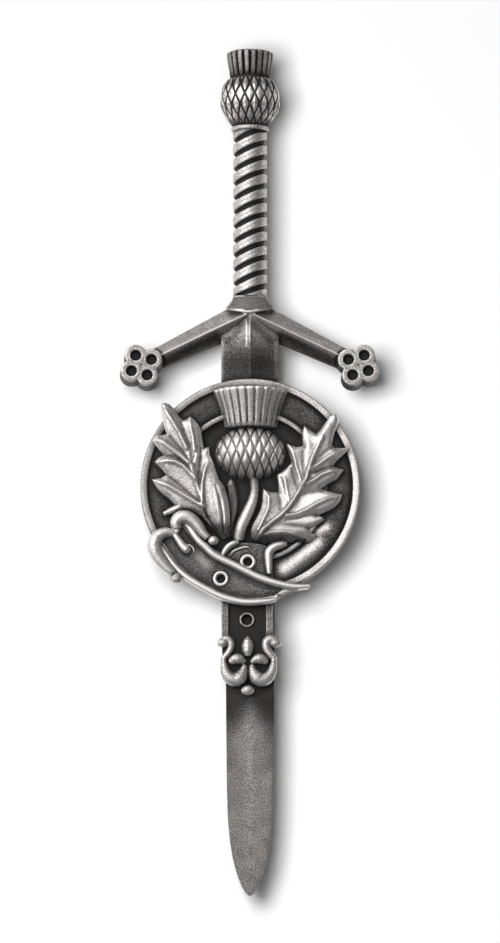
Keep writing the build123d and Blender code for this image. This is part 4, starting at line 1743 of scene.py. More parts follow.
@dataclass
class ThistleHead:
    """The badge's thistle: a bulb of diamond scales and a crown of upright ribs."""

    node: str = "thistle_head"
    half_width: float = 4.32
    half_length: float = 3.25
    fullness: float = 2.5
    seat: float = 0.6
    bulb_pixel: Point = (250.5, 452.4)
    limit: float = 0.985
    axis_drop: float = 0.65
    bulb_x: float = 0.06
    crown_x: float = 0.1
    bulb_level: float = 1.9
    pitch: float = 1.15
    scale_length: float = 2.86
    columns: int = 9
    rows: int = 4
    groove: float = 0.125
    scale_rise: float = 0.22
    ribs: int = 26
    rib_depth: float = 0.16
    patina_and_light: tuple[PatinaAndLight, ...] = (
        PatinaAndLight(((222, 425), (278, 425)), 6, 0.45),
        PatinaAndLight(((228, 480), (274, 480)), 5, 0.25),
        # Painted highlight on the upper middle of the bulb, and a painted sheen lightening a band
        # across it
        PatinaAndLight(((236, 444), (258, 446)), 12, -0.2),
        PatinaAndLight(((222, 452), (250, 456), (278, 452)), 16, -0.2),
        PatinaAndLight(((268, 470), (276, 460)), 6, 0.15),
        PatinaAndLight(((216, 389), (250, 386), (286, 390)), 4, -0.25),
    )
    crown_foot: float = 5.15
    crown_soil: float = -0.46
    bulb_soil: float = -0.62
    groove_soil: float = 0.3
    flat_height: float = 0.6
    crown_profile: Line = (
        (0.0, 3.2), (0.1, 3.36), (0.6, 3.45), (1.3, 3.62), (2.1, 3.85), (2.9, 4.13), (3.6, 4.4),
        (4.1, 4.62), (4.35, 4.72), (4.48, 4.66),
    )

    def bulb(self, centre: Vector, floor: float) -> Piece:
        """The bulb: a net of raised diamonds laid over a dome.

        Args:
            centre: the dome's middle.
            floor: height of the bulb's underside.

        Returns:
            The bulb.
        """
        bpy.ops.mesh.primitive_grid_add(
            x_subdivisions=self.columns, y_subdivisions=self.rows, size=1, location=centre
        )
        net = bpy.context.object
        net.scale = (self.columns * self.pitch, self.rows * self.scale_length, 1)
        settle(net, "bulb")
        open_edit(net)
        diamonds(net)
        close_edit()
        raise_scales(net, self.groove, self.scale_rise)
        stain(net, lambda x, y, z: groove_stain(z - centre.z, self.scale_rise))

        def outside(vertex: bmesh.types.BMVert) -> bool:
            """True for a vertex off the dome."""
            spot = vertex.co - centre
            return math.hypot(spot.x / self.half_width, spot.y / self.half_length) > self.limit

        open_edit(net)
        pick(net, Part.FACE, lambda face: all(outside(vertex) for vertex in face.verts))
        bpy.ops.mesh.delete(type="FACE")
        close_edit()

        def over_dome(x: Values, y: Values, z: Values) -> None:
            """Lays the net over the dome, with what hangs over drawn in to its edge.

            Args:
                x, y, z: the net's vertices, which it moves.
            """
            across = (x - centre.x) / self.half_width
            along = (y - centre.y) / self.half_length
            rise = z - centre.z
            pull = np.minimum(1, self.limit / np.maximum(np.hypot(across, along), 1e-6))
            across, along = across * pull, along * pull
            up = np.sqrt(np.clip(1 - np.hypot(across, along) ** self.fullness, 0, 1))
            x[:] = centre.x + across * (self.half_width + rise - self.scale_rise)
            y[:] = centre.y + along * (self.half_length + rise - self.scale_rise)
            z[:] = centre.z + self.seat + up * (self.half_width - self.seat - 0.1 + rise)

        reshape(net, over_dome)
        open_edit(net)
        pick(net, Part.EDGE, lambda edge: len(edge.link_faces) == 1)
        draw_out((0, 0, 0))
        stretch((1, 1, 0), (0, 0, floor))
        bpy.ops.mesh.edge_face_add()
        close_edit()
        close_seams(net)
        return net

    def build(self) -> Piece:
        """Makes the bulb and the crown, and cuts the crown off flat at the belt.

        Returns:
            The thistle.
        """
        low, _ = node_box(self.node)
        axis_z = low.z - self.axis_drop
        centre_y = photo.place(self.bulb_pixel, axis_z + self.bulb_level).y
        centre = Vector((self.bulb_x, centre_y, axis_z))
        bulb = self.bulb(centre, low.z)
        foot = Vector((self.crown_x, self.crown_foot, axis_z))
        crown = fluted_crown(
            foot, self.ribs, self.rib_depth, self.groove_soil, self.crown_profile
        )
        open_edit(crown)
        saw((0, 0, low.z + self.flat_height), (0, 0, -1), True)
        close_edit()
        piece = join("thistle", [bulb, crown])
        smooth_shaded(piece, 50)
        soils = self.crown_soil, self.bulb_soil
        stain(piece, lambda x, y, z: np.where(y > self.crown_foot, *soils), self.patina_and_light)
        return piece


@dataclass
class Stem:
    """The thistle's stem: an S-shaped rod on the floor of the disc."""

    node: str = "thistle_stem"
    level: float = 9.75
    soil: float = -0.1
    line: Line = (
        (254, 474), (254.3, 481), (254.8, 490), (253, 500), (249, 510), (244.3, 520), (240.8, 528),
        (239.3, 535), (239, 541),
    )
    widths: tuple[float, ...] = (0.95, 1.0, 1.05, 1.22, 1.46, 1.52, 1.5, 1.42, 1.25)
    patina_and_light: tuple[PatinaAndLight, ...] = (
        PatinaAndLight(((254, 480), (254, 488)), 8, 0.35),
        PatinaAndLight(((240, 536), (241, 542)), 8, 0.3),
    )

    def build(self) -> Piece:
        """Bends the stem.

        Returns:
            The stem.
        """
        piece = rod("stem", photo.line(self.line, self.level), self.widths, 6)
        smooth_shaded(piece, 60)
        stain(piece, self.soil, self.patina_and_light)
        return piece


@dataclass(frozen=True)
class Vein:
    """A crest in a leaf: its line in the photo, its rise, and how far each side slopes away."""

    line: Line
    rise: float = 0.3
    left: float = 1.0
    right: float = 0.5
    core: float = 0.14
    rope: float = 0.0


@dataclass
class Leaf:
    """A lobed leaf with a crest along each vein and a crease between its lobes."""

    node: str
    name: str
    edge: Line
    veins: tuple[Vein, ...]
    creases: tuple[Line, ...]
    patina_and_light: tuple[PatinaAndLight, ...]
    soil: float = 0.0
    under: Line = ()
    sink_row: float = 524.0
    edge_height: float = 0.3
    swell: float = 0.42
    swell_width: float = 0.7
    crease_depth: float = 0.28
    grain: float = 0.08
    under_rise: float = 0.6
    plate_rise: float = 1.0
    recess_end: Point = (8.55, 8.7)
    belt_start: Point = (9.32, 9.4)
    belt_end: Point = (12.2, 12.3)
    under_soil: float = 0.35
    belt_drop: float = 0.4
    overhang_drop: float = 0.6
    foot_drop: float = 0.9
    rope_half: float = 0.21

    def under_lobe(self, floor: float) -> Piece:
        """The low lobe that shows from behind the leaf, with a rounded edge.

        Args:
            floor: height of its underside.

        Returns:
            The lobe.
        """
        outline = photo.line(self.under, floor)
        lobe = cut_plate("under_lobe", outline, floor + self.under_rise)
        work(lobe, "REMESH", mode="VOXEL", voxel_size=self.grain)
        ring = flattened(outline + outline[:1])

        def round_off(x: Values, y: Values, z: Values) -> None:
            """Rounds the lobe's edge."""
            share = (z - floor) / self.under_rise
            z[:] = floor + share * (0.25 + 0.55 * rounded(away_from(x, y, ring)[0], 0.5))

        reshape(lobe, round_off)
        stain(lobe, self.under_soil)
        return lobe

    def build(self) -> Piece:
        """Cuts the leaf's plate, seats it on the disc and works its face.

        Returns:
            The leaf.
        """
        low, high = node_box(self.node)
        rim_z = high.z - 1.15
        disc_r, disc_y = disc_round()
        outline = photo.line(self.edge, rim_z + 0.4)
        foot = [Vector((p.x, p.y, low.z)) for p in outline]
        plate = cut_plate(self.name, foot, low.z + self.plate_rise)
        cast_whole(plate, self.grain, 1)
        ring = flattened(outline + outline[:1])
        veins = [(vein, photo.flat(vein.line, rim_z + 0.8)) for vein in self.veins]
        creases = [photo.flat(line, rim_z + 0.5) for line in self.creases]
        sink_y = photo.place((0, self.sink_row), rim_z).y

        def emboss(x: Values, y: Values, z: Values) -> None:
            """Seats the underside on floor, belt and rims, and works crests and creases above.

            Args:
                x, y, z: the leaf's vertices, which it moves.
            """
            edge = away_from(x, y, ring)[0]
            top = rim_z + self.edge_height + self.swell * rounded(edge, self.swell_width)
            inner = step_up(edge, 0.0, 0.6)
            for vein, line in veins:
                far, share, side = away_from(x, y, line)
                slope = (vein.left + vein.right) / 2 + side * (vein.left - vein.right) / 2
                fade = (1 - 0.75 * step_up(share, 0.7, 1.0)) * (0.35 + 0.65 * inner)
                top += vein.rise * fade * 0.6 * np.exp(-((far / slope) ** 1.5))
                top += vein.rise * fade * 0.5 * np.exp(-((far / vein.core) ** 2))
                top += vein.rope * fade * np.exp(-((far / self.rope_half) ** 4))
            for line in creases:
                far, share, _ = away_from(x, y, line)
                fade = 1 - 0.6 * step_up(share, 0.5, 1.0)
                valley = 0.5 * np.exp(-((far / 0.5) ** 2)) + 0.5 * np.exp(-((far / 0.16) ** 2))
                top -= self.crease_depth * fade * valley
            top -= self.foot_drop * step_up(sink_y - y, 0.0, 1.7)
            out = np.hypot(x, y - disc_y)
            seat = low.z + 0.02 + (rim_z - low.z) * step_up(out, *self.recess_end)
            on_belt = step_up(out, *self.belt_start) * (1 - step_up(out, *self.belt_end))
            seat -= self.belt_drop * on_belt
            seat -= self.overhang_drop * step_up(out, disc_r + 0.02, disc_r + 0.3)
            z[:] = seat + (top - seat) * np.clip((z - low.z) / self.plate_rise, 0, 1)

        reshape(plate, emboss)
        stain(plate, self.soil, self.patina_and_light)
        if self.under:
            plate = join(self.name, [plate, self.under_lobe(low.z + 0.02)])
        smooth_shaded(plate, 60)
        return plate


LEFT_LEAF = Leaf(
    node="left_leaf",
    name="leaf_left",
    soil=-0.24,
    edge=(
        (223.3, 538.3), (211.8, 527.4), (201.6, 515.9), (192.8, 511.9), (183.7, 510.6),
        (173.3, 513.3), (164.5, 516), (162.5, 512.1), (170.2, 507.4), (174.9, 505), (169.2, 498.7),
        (162.4, 493.8), (157, 488.2), (151.8, 479.6), (156.9, 478.2), (161, 477.9), (166, 474.5),
        (161.6, 469.2), (154.5, 462), (158.3, 457.9), (163.6, 454.9), (159.5, 450.3),
        (152.1, 440.7), (156.8, 435.1), (161.8, 435), (166.2, 433.7), (163.4, 423.4),
        (162.1, 414.1), (161, 405.5), (162, 402.5), (163.7, 402.5), (169.4, 403.8), (174.8, 409.4),
        (179.6, 417), (183, 420.3), (186.7, 419.3), (190, 416), (194.4, 419.6), (199.2, 425.6),
        (201.9, 432.5), (202.6, 440.5), (204, 448.1), (209, 446.5), (209.8, 454.1), (212.8, 461),
        (216, 470), (219.5, 479.6), (225, 487), (227.5, 496), (229.3, 505), (230, 515),
        (230.3, 527), (232, 536),
    ),
    under=(
        (226, 486), (228.5, 480.5), (231.5, 478), (234.5, 481.5), (236.6, 490), (238.2, 502),
        (238, 512), (235.5, 522), (234, 538), (226, 538),
    ),
    veins=(
        Vein(((203.7, 506.9), (201, 499), (197.6, 487), (195, 479), (191, 464.8), (188.5, 454.5)),
             0.32, 0.35, 0.35, 0.2),
        Vein(((203.7, 506.9), (194.3, 501.3), (183.2, 494.7), (172.1, 488), (163.3, 483.6),
              (153.5, 479.5)),
             0.55, 1.5, 0.5, 0.24),
        Vein(((195, 479), (188.8, 471.4), (183.2, 465.9), (175.5, 462), (166.6, 460.9),
              (157, 462)),
             0.55, 1.4, 0.5, 0.24),
        Vein(((188.2, 462.6), (181, 455.9), (172.1, 449.3), (163.3, 442.6), (154.5, 438)),
             0.55, 1.3, 0.5, 0.24),
        Vein(((186.5, 448.2), (179.5, 432.7), (172.8, 421.6), (164, 408)), 0.35, 1.1, 0.7, 0.2),
        Vein(((194.5, 450), (193, 437), (191, 428), (189, 418)), 0.3, 0.8, 0.9, 0.2),
        Vein(((202.5, 501), (202, 484), (204.3, 471.4), (207.6, 462.6), (210.6, 458)),
             0.4, 0.3, 0.8, 0.2),
        Vein(((195.5, 462), (196.5, 457), (198, 452)), 0.3, 0.35, 0.35, 0.25),
        Vein(((222, 527), (219, 512), (216, 497), (213, 483), (210, 470)), 0.3, 1.4, 1.4, 1.0),
        Vein(((221, 522), (219.5, 508), (217.5, 496), (214, 484)), 0.2, 0.7, 1.6, 0.5),
    ),
    creases=(
        ((207.6, 517), (204, 508), (201.5, 498)),
        ((217, 532), (212, 525), (207.6, 517), (203.7, 508)),
        ((168, 476), (178, 483), (188, 492), (199, 501)),
        ((166.5, 456), (176, 457), (186, 465.5), (193, 475)),
        ((170, 436), (176, 443), (184, 453), (190, 462)),
        ((181, 423), (185, 434), (190, 446), (193, 457)),
        ((201, 449), (200.5, 460), (199, 472), (200.5, 484)),
        ((223, 532), (222.5, 516), (220, 500), (216, 486)),
    ),
    patina_and_light=(
        PatinaAndLight(((206, 524), (216, 538), (232, 538)), 11, 0.65),
        PatinaAndLight(((223.5, 494), (223.5, 508)), 2.2, -0.25),
        PatinaAndLight(((204, 472), (207.5, 461)), 2.4, -0.3),
        # Painted shade on the leaf below a vein
        PatinaAndLight(((180, 505), (196, 509)), 5, 0.2),
        PatinaAndLight(((176, 429), (184, 446)), 4, 0.15),
        PatinaAndLight(((193, 430), (197, 445)), 4, 0.15),
        PatinaAndLight(((211, 486), (213, 500)), 7, -0.1),
        PatinaAndLight(((166, 404), (172, 414)), 5, 0.3),
        PatinaAndLight(((224, 488), (229.5, 505), (230.5, 527)), 2.6, 0.26),
        PatinaAndLight(((220, 526), (232, 530)), 6, 0.35),
        PatinaAndLight(((214, 476), (217, 492)), 3, -0.12),
        PatinaAndLight(((211.5, 478), (212.5, 496), (217, 516)), 2, 0.22),
    ),
)

RIGHT_LEAF = Leaf(
    node="right_leaf",
    name="leaf_right",
    soil=-0.38,
    sink_row=529.0,
    edge=(
        (264.4, 543.8), (273.5, 540.6), (280.9, 539.9), (292.3, 541.5), (302.3, 542.3),
        (309.8, 541.5), (315.1, 538.7), (316.8, 534.5), (312.5, 532.8), (309.7, 530.2),
        (308.6, 527.8), (315.2, 525.7), (324.5, 519.2), (322.5, 516.8), (317, 515.2), (322, 513.5),
        (327.5, 511), (334.2, 507.6), (339.8, 502), (342.4, 494.2), (336.5, 493), (329.5, 491.3),
        (321, 488.6), (329, 483.5), (337.5, 478.7), (343.8, 469.5), (337.5, 467.8), (332.8, 466.4),
        (336, 461.8), (342.6, 455.5), (350, 447.8), (341.2, 447.8), (333.5, 447.5), (332.1, 444.1),
        (334.3, 433.3), (337.7, 424.9), (338.7, 418.5), (336.8, 414), (334.3, 413.4),
        (330.4, 415.4), (324.3, 423.8), (320.1, 429.9), (316.4, 433.8), (310, 430), (304.1, 425.3),
        (302, 433), (302.1, 440), (303, 445.7), (296.1, 446.8), (286.4, 443.2), (289, 453.6),
        (291.8, 462.1), (284.8, 469.5), (277, 474.5), (278.2, 483.3), (278.6, 491.9),
        (270.1, 491.8), (263.1, 488.4), (262.5, 495), (262.3, 502), (260.5, 509.5), (256.8, 517),
        (252.6, 524.5), (251, 531), (251.5, 537.5),
    ),
    veins=(
        Vein(((257.1, 537.9), (263.8, 529), (271.5, 522.4), (280.4, 515.7), (287, 509.1),
              (293.7, 500.2), (300.3, 489.2), (305.8, 479.2), (309.2, 468.1), (312.5, 458.2),
              (316.9, 448.2), (322.5, 437)),
             0.35, 0.35, 0.35, 0.3, 0.32),
        Vein(((287, 515.7), (297, 514.1), (306.9, 509.6), (316.9, 503.6), (326.9, 499.1),
              (339, 496)),
             0.5, 1.0, 0.9, 0.2),
        Vein(((307.5, 483.6), (313.6, 480.3), (321.3, 474.8), (330.2, 471.4), (342, 469.8)),
             0.5, 0.9, 0.8, 0.2),
        Vein(((311.4, 469.2), (319.1, 463.7), (326.9, 458.2), (332.4, 454.8), (343, 449)),
             0.5, 0.9, 0.7, 0.2),
        Vein(((261.5, 535.1), (271.5, 532.4), (282.6, 531.8), (293.7, 533.5), (306, 536)),
             0.5, 0.8, 0.35, 0.2),
        Vein(((301, 485), (299.5, 477), (296.2, 467), (292.5, 454), (288, 445)),
             0.35, 0.5, 0.9, 0.18),
        Vein(((288, 500), (286, 490), (285, 481), (281, 473)), 0.35, 0.7, 0.7, 0.25),
        Vein(((258, 530), (264, 518), (268.4, 508), (269.2, 498), (265, 489.8)),
             0.42, 0.6, 0.8, 0.18),
        Vein(((318, 440), (325, 430), (331, 420)), 0.2, 1.0, 1.0, 0.6),
        Vein(((303, 470), (308, 450), (306, 434)), 0.2, 0.8, 0.8, 0.5),
    ),
    creases=(
        ((312.5, 529), (302, 526), (291, 525), (280, 524)),
        ((316, 514.5), (306, 516), (296, 519), (286, 521)),
        ((322.5, 490.3), (314, 492), (307, 493), (299, 497)),
        ((330.8, 467), (322, 470), (314, 473), (309, 475)),
        ((332, 447), (324, 453), (317, 460), (313, 464)),
        ((303.5, 447), (303, 460), (303.5, 472), (304.5, 480)),
        ((291.5, 468), (294, 478), (297, 488), (297.5, 494)),
        ((277.5, 493), (280, 500), (281, 508), (279, 513)),
        ((281.5, 478), (285, 490), (287.5, 500), (288, 505)),
    ),
    patina_and_light=(
        PatinaAndLight(((268, 539), (285, 538), (300, 541)), 6, 0.45),
        PatinaAndLight(((252, 535), (262, 541)), 8, 0.4),
        PatinaAndLight(((254, 526), (258, 516), (263, 500)), 4, 0.25),
        # Painted highlight on a lobe
        PatinaAndLight(((306, 501), (320, 494)), 5, -0.1),
        # Painted shade under a vein's inner half
        PatinaAndLight(((315, 473.5), (324, 467.5)), 2, 0.3),
        PatinaAndLight(((280, 485), (282, 500)), 4, 0.25),
        PatinaAndLight(((294, 466), (297, 478)), 4, 0.25),
        PatinaAndLight(((306, 494), (314, 487)), 5, -0.1),
        PatinaAndLight(((318, 458), (316, 466)), 4, -0.1),
        PatinaAndLight(((302, 449), (300, 455)), 4, -0.2),
        PatinaAndLight(((274, 499), (277, 500)), 3, -0.25),
    ),
)


class Graph:
    """A node tree, with short ways to add to it."""

    def __init__(self, tree: bpy.types.NodeTree) -> None:
        """Takes up a tree."""
        self.tree = tree

    def add(
        self, kind: str, inputs: dict[str, object] | None = None, **settings: object
    ) -> bpy.types.Node:
        """A new node.

        Args:
            kind: its type.
            inputs: sockets or constants that feed its inputs, by name.
            settings: its own settings by name.

        Returns:
            The node.
        """
        node = self.tree.nodes.new(kind)
        for name, value in settings.items():
            setattr(node, name, value)
        for name, value in (inputs or {}).items():
            self.feed(node.inputs[name], value)
        return node

    def feed(self, socket: Socket, value: object) -> None:
        """Feeds a node's input.

        Args:
            socket: the input.
            value: a socket to link it to, or a constant.
        """
        if isinstance(value, Socket):
            self.tree.links.new(value, socket)
        else:
            socket.default_value = value

    def math(self, operation: str, *values: object, clamp: bool = False) -> Socket:
        """A number worked out from sockets or numbers.

        Args:
            operation: what is done with them.
            values: two numbers, or three where the operation takes them.
            clamp: True holds the result between 0 and 1.

        Returns:
            The result.
        """
        node = self.add("ShaderNodeMath", operation=operation, use_clamp=clamp)
        for socket, value in zip(node.inputs, values):
            self.feed(socket, value)
        return node.outputs[0]

    def vector(self, operation: str, *values: object) -> Socket:
        """A vector sum or product, or a dot product.

        Args:
            operation: what is done with the values.
            values: two sockets or constants.

        Returns:
            The result.
        """
        node = self.add("ShaderNodeVectorMath", operation=operation)
        for socket, value in zip(node.inputs, values):
            self.feed(socket, value)
        return node.outputs["Value" if operation == "DOT_PRODUCT" else "Vector"]

    def attribute(self, name: str) -> Socket:
        """A mark that the piece carries on its vertices."""
        node = self.add("ShaderNodeAttribute", attribute_type="GEOMETRY", attribute_name=name)
        return node.outputs["Fac"]

    def noise(self, size_mm: float, detail: float, drawn: Size = (1, 1, 1)) -> Socket:
        """Noise on the piece's own coordinates.

        Args:
            size_mm: size of its grains in millimetres.
            detail: how many finer layers it has.
            drawn: scale along each axis, below 1 where the grains are drawn out.

        Returns:
            The noise, about 0.5.
        """
        where = self.add("ShaderNodeTexCoord").outputs["Object"]
        spot = self.add("ShaderNodeMapping", {"Vector": where, "Scale": drawn}).outputs[0]
        inputs = {"Vector": spot, "Scale": 1 / (size_mm * MM), "Detail": detail}
        return self.add("ShaderNodeTexNoise", inputs).outputs["Fac"]

    def ramp(self, value: Socket, stops: Sequence[tuple[float, Size]]) -> Socket:
        """A colour ramp.

        Args:
            value: what it turns into colour.
            stops: places between 0 and 1, and the colour at each.

        Returns:
            The colour.
        """
        node = self.add("ShaderNodeValToRGB")
        elements = node.color_ramp.elements
        while len(elements) < len(stops):
            elements.new(0.5)
        for element, (place, colour) in zip(elements, stops):
            element.position = place
            element.color = (*colour, 1)
        self.feed(node.inputs[0], value)
        return node.outputs[0]


class Coat(Graph):
    """A new material with one surface shader."""

    def __init__(self, name: str) -> None:
        """Starts the material.

        Args:
            name: the material's name.
        """
        self.material = bpy.data.materials.new(name)
        self.material.use_nodes = True
        super().__init__(self.material.node_tree)
        self.tree.nodes.clear()

    def lay(self, **looks: object) -> bpy.types.Material:
        """Lays the surface on.

        Args:
            looks: sockets or constants for the shader, by their plain names.

        Returns:
            The material.
        """
        names = {
            "colour": "Base Color", "metal": "Metallic", "rough": "Roughness", "bumps": "Normal",
        }
        inputs = {names[look]: value for look, value in looks.items()}
        shader = self.add("ShaderNodeBsdfPrincipled", inputs)
        self.add("ShaderNodeOutputMaterial", {"Surface": shader.outputs[0]})
        return self.material

    def bumps(self, height: Socket, depth: float) -> Socket:
        """Fine bumps of a depth in metres."""
        inputs = {"Strength": 0.2, "Distance": depth, "Height": height}
        return self.add("ShaderNodeBump", inputs).outputs[0]


@dataclass(frozen=True)
class PatinaReader:
    """Reads from the shapes themselves where patina stays: in hollows, and not on ridges."""

    reach: float = 1.1
    rays: int = 28
    lift: float = 0.03
    spread: float = 0.98
    ridge_gain: float = 20.0

    def directions(self) -> list[Vector]:
        """Evenly spread unit directions, on a spiral over the sphere.

        Returns:
            One direction for each ray.
        """
        golden = math.pi * (3 - math.sqrt(5))
        found = []
        for i in range(self.rays):
            z = 1 - 2 * (i + 0.5) / self.rays
            side = math.sqrt(1 - z * z)
            found.append(Vector((side * math.cos(golden * i), side * math.sin(golden * i), z)))
        return found

    def group(self, whole: Piece) -> bpy.types.NodeTree:
        """The node group that writes how hollow and how ridged each point is.

        Args:
            whole: all pieces in one, which the rays are cast at.

        Returns:
            The group.
        """
        tree = bpy.data.node_groups.new("patina", "GeometryNodeTree")
        for way in ("INPUT", "OUTPUT"):
            tree.interface.new_socket("Geometry", in_out=way, socket_type="NodeSocketGeometry")
        g = Graph(tree)
        place = g.add("GeometryNodeInputPosition").outputs[0]
        normal = g.add("GeometryNodeInputNormal").outputs[0]
        target = g.add("GeometryNodeObjectInfo", {"Object": whole}).outputs["Geometry"]
        source = g.vector("ADD", place, g.vector("MULTIPLY", normal, (self.lift,) * 3))
        total = None
        for direction in self.directions():
            ray = g.add("GeometryNodeRaycast", {
                "Ray Length": self.reach,
                "Target Geometry": target,
                "Source Position": source,
                "Ray Direction": g.vector("ADD", normal, direction * self.spread),
            })
            share = g.math("DIVIDE", ray.outputs["Hit Distance"], self.reach)
            near = g.math("SUBTRACT", 1.0, share)
            met = g.math("MULTIPLY", near, ray.outputs["Is Hit"])
            total = g.math("ADD", total, met) if total else met
        hollow = g.math("DIVIDE", total, float(self.rays))
        soft = g.add("GeometryNodeBlurAttribute", {"Iterations": 2, "Value": hollow}).outputs[0]
        flat = g.add(
            "GeometryNodeBlurAttribute", {"Iterations": 4, "Value": place}, data_type="FLOAT_VECTOR"
        ).outputs[0]
        bulge = g.vector("DOT_PRODUCT", g.vector("SUBTRACT", place, flat), normal)
        geometry = g.add("NodeGroupInput").outputs[0]
        ridge = g.math("MULTIPLY", bulge, self.ridge_gain)
        for name, value in (("hollow", soft), ("ridge", ridge)):
            store = g.add(
                "GeometryNodeStoreNamedAttribute",
                {"Name": name, "Geometry": geometry, "Value": value},
                data_type="FLOAT", domain="POINT",
            )
            geometry = store.outputs["Geometry"]
        g.feed(g.add("NodeGroupOutput").inputs[0], geometry)
        return tree

    def read(self, pieces: Sequence[Piece]) -> None:
        """Writes the hollow and ridge marks on every piece.

        Args:
            pieces: all of them, since each darkens its neighbours.
        """
        copies = []
        for piece in pieces:
            copy = piece.copy()
            copy.data = piece.data.copy()
            bpy.context.scene.collection.objects.link(copy)
            copies.append(copy)
        whole = join("whole", copies)
        tree = self.group(whole)
        for piece in pieces:
            work(piece, "NODES", node_group=tree)
        bpy.data.objects.remove(whole)
        bpy.data.node_groups.remove(tree)


@dataclass(frozen=True)
class AntiquePewter:
    """Cast pewter, blackened in its hollows and rubbed bright on its relief."""

    name: str = Slot.PEWTER.value
    worn_start: float = 0.66
    hollow_gain: float = 1.2
    # Weight of the vertex stain, which holds painted shade and painted highlights as well as patina
    stain_and_light_gain: float = 0.75
    ridge_gain: float = 0.5
    ridge_least: float = -0.22
    ridge_most: float = 0.2
    mottle: float = 0.2
    mottle_size: float = 1.6
    speckle: float = 1.0
    speckle_size: float = 0.14
    bump_size: float = 0.12
    bump_depth: float = 0.00004
    metal: float = 0.5
    rough: float = 0.62
    polish: float = 0.16
    tones: tuple[tuple[float, Size], ...] = (
        (0.0, (0.010, 0.0093, 0.0088)),
        (0.25, (0.040, 0.0375, 0.0358)),
        (0.5, (0.165, 0.155, 0.149)),
        (0.75, (0.42, 0.40, 0.385)),
        (1.0, (0.82, 0.79, 0.77)),
    )

    def make(self) -> bpy.types.Material:
        """Builds the material.

        Returns:
            The material.
        """
        g = Coat(self.name)
        ridge = g.math("MULTIPLY", g.attribute("ridge"), self.ridge_gain)
        rubbed = g.math("MAXIMUM", g.math("MINIMUM", ridge, self.ridge_most), self.ridge_least)
        wear_and_light = self.worn_start
        # The vertex stain carries patina together with painted shade and painted highlights, so
        # this colour paints light as well as tarnish
        for name, gain in (("hollow", self.hollow_gain), ("stain", self.stain_and_light_gain)):
            wear_and_light = g.math("SUBTRACT", wear_and_light, g.math("MULTIPLY", g.attribute(name), gain))
        wear_and_light = g.math("ADD", wear_and_light, rubbed)
        for size, detail, gain, last in (
            (self.mottle_size, 3.0, self.mottle, False),
            (self.speckle_size, 1.5, self.speckle, True),
        ):
            grain = g.math("SUBTRACT", g.noise(size, detail), 0.5)
            wear_and_light = g.math("ADD", wear_and_light, g.math("MULTIPLY", grain, gain), clamp=last)
        return g.lay(
            colour=g.ramp(wear_and_light, self.tones),
            metal=g.math("MULTIPLY_ADD", wear_and_light, self.metal, self.metal),
            rough=g.math("SUBTRACT", self.rough, g.math("MULTIPLY", wear_and_light, self.polish)),
            bumps=g.bumps(g.noise(self.bump_size, 3.0), self.bump_depth),
        )


@dataclass(frozen=True)
class SatinSteel:
    """Plain satin steel of the back finding."""

    name: str = Slot.STEEL.value
    tones: tuple[tuple[float, Size], ...] = ((0.3, (0.42, 0.42, 0.43)), (0.7, (0.62, 0.62, 0.63)))
    streak_size: float = 0.3
    streak_scale: Size = (1, 0.08, 1)
    streak_depth: float = 0.00002
    rough: float = 0.28
    uneven: float = 0.2

    def make(self) -> bpy.types.Material:
        """Builds the material.

        Returns:
            The material.
        """
        g = Coat(self.name)
        streaks = g.noise(self.streak_size, 3.0, self.streak_scale)
        return g.lay(
            colour=g.ramp(streaks, self.tones),
            metal=1.0,
            rough=g.math("ADD", self.rough, g.math("MULTIPLY", streaks, self.uneven)),
            bumps=g.bumps(streaks, self.streak_depth),
        )


@dataclass(frozen=True)
class Lamp:
    """A square soft lamp: where it stands, its side in metres and its watts."""

    name: str
    place: Size
    side: float
    power: float


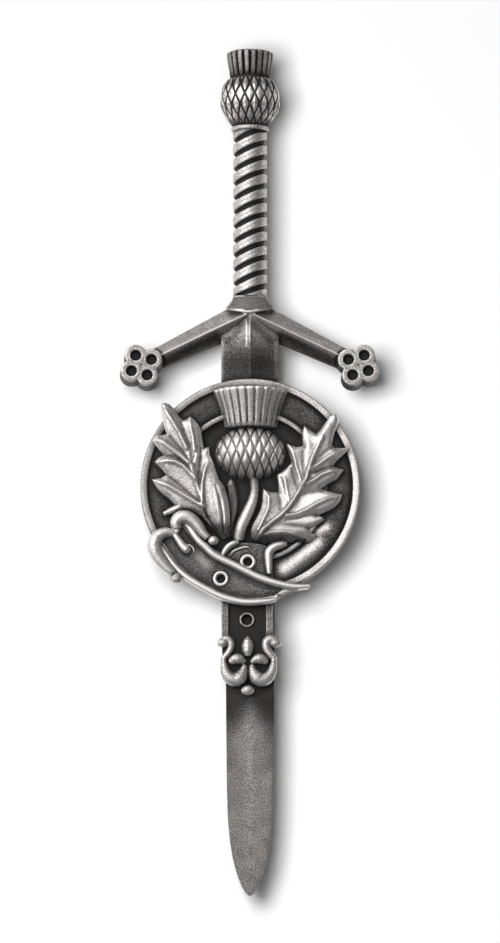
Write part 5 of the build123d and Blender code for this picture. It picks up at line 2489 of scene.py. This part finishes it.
@dataclass(frozen=True)
class Studio:
    """Plain pale floor, soft light from the upper left, and the camera at the photo's angle."""

    elevation: float = 80.0
    distance: float = 1.9
    sensor: float = 36.0
    picture_pixels: tuple[int, int] = (500, 943)
    target: Size = (0.0, -0.00004, 0.009)
    floor_side: float = 3.0
    floor_colour: Size = (0.86, 0.86, 0.86)
    bright_side: Size = (-0.55, 0.35, 0.76)
    bright_start: float = -0.3
    bright: float = 3.0
    dim: float = 0.1
    falloff: float = 5.5
    lamps: tuple[Lamp, ...] = (
        Lamp("key", (-0.08, -0.022, 0.45), 0.15, 2.3),
        Lamp("fill", (0.1, -0.1, 1.2), 1.4, 3.3),
    )

    def camera(self) -> None:
        """Sets the camera so that the photo's scale holds at the pin's middle height."""
        data = bpy.data.cameras.new("camera")
        camera = bpy.data.objects.new("camera", data)
        bpy.context.scene.collection.objects.link(camera)
        seen = self.picture_pixels[1] * photo.across * MM
        data.sensor_fit = "AUTO"
        data.sensor_width = self.sensor
        data.lens = data.sensor_width * self.distance / seen
        data.clip_start, data.clip_end = 0.01, 10.0
        tilt = math.radians(self.elevation)
        back = Vector((0, -math.cos(tilt), math.sin(tilt)))
        camera.location = Vector(self.target) + back * self.distance
        camera.rotation_euler = (math.radians(90 - self.elevation), 0, 0)
        bpy.context.scene.camera = camera

    def light(self, plan: Lamp) -> None:
        """Hangs a lamp that faces the pin, and that its metal doesn't mirror.

        Args:
            plan: what lamp it is.
        """
        data = bpy.data.lights.new(plan.name, "AREA")
        data.size = plan.side
        data.energy = plan.power
        lamp = bpy.data.objects.new(plan.name, data)
        bpy.context.scene.collection.objects.link(lamp)
        lamp.visible_glossy = False
        place = Vector(plan.place)
        lamp.location = place
        lamp.rotation_euler = (Vector(self.target) - place).to_track_quat("-Z", "Y").to_euler()

    def floor(self) -> None:
        """A wide pale floor under the pin."""
        bpy.ops.object.select_all(action="DESELECT")
        bpy.ops.mesh.primitive_plane_add(size=self.floor_side, location=(0, 0, 0))
        floor = settle(bpy.context.object, "floor")
        white = Coat("floor_white").lay(colour=(*self.floor_colour, 1), rough=0.9)
        floor.data.materials.append(white)

    def surround(self, scene: bpy.types.Scene) -> None:
        """A soft studio all round: pale towards the lamp's side, and darker away from it.

        Args:
            scene: the scene that it surrounds.
        """
        world = bpy.data.worlds.new("surround")
        world.use_nodes = True
        g = Graph(world.node_tree)
        where = g.add("ShaderNodeTexCoord").outputs["Generated"]
        along = g.vector("DOT_PRODUCT", where, Vector(self.bright_side).normalized())
        level = g.add("ShaderNodeMapRange", {
            "Value": along, "From Min": self.bright_start, "From Max": 1.0, "To Min": 0.0,
            "To Max": 1.0,
        })
        curve = g.math("POWER", level.outputs["Result"], self.falloff)
        back = g.tree.nodes["Background"]
        back.inputs["Color"].default_value = (1, 1, 1, 1)
        strength = g.math("MULTIPLY_ADD", curve, self.bright - self.dim, self.dim)
        g.feed(back.inputs["Strength"], strength)
        world.cycles_visibility.diffuse = False
        scene.world = world

    def set_up(self) -> None:
        """Places floor, lamps and camera, and a soft white surround."""
        scene = bpy.context.scene
        scene.view_settings.view_transform = "Standard"
        self.surround(scene)
        self.floor()
        for lamp in self.lamps:
            self.light(lamp)
        self.camera()


def carry(piece: Piece, node: str, finish: bpy.types.Material) -> None:
    """Dresses a finished piece, brings it to metres and puts it in its node's place.

    Args:
        piece: the piece in millimetres.
        node: the node of the frame that it replaces.
        finish: its material.
    """
    piece.data.materials.clear()
    piece.data.materials.append(finish)
    piece.scale = (MM, MM, MM)
    settle(piece, piece.name)
    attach(piece, "root")
    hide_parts(node)
    log.info("%s: %d faces", piece.name, len(piece.data.polygons))


def main() -> None:
    """Builds every piece, reads the patina off the shapes, dresses them and sets the studio."""
    logging.basicConfig(level=logging.INFO, format="%(name)s %(message)s")
    bpy.ops.object.select_all(action="DESELECT")
    blade = Blade()
    makers = [
        Pommel(), Grip(), Guard(), blade, BeltDisc(), Buckle(), Tail(), ThistleHead(), Stem(),
        LEFT_LEAF, RIGHT_LEAF,
    ]
    pieces = []
    for maker in makers:
        pieces.append(maker.build())
        log.info("built %s", maker.node)
    PatinaReader().read(pieces)
    blade.even_edges(pieces[makers.index(blade)])
    pewter = AntiquePewter().make()
    for maker, piece in zip(makers, pieces):
        carry(piece, maker.node, pewter)
    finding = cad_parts["pin_finding"]
    finding.data.materials.clear()
    finding.data.materials.append(SatinSteel().make())
    Studio().set_up()


if __name__ == "__main__":
    main()
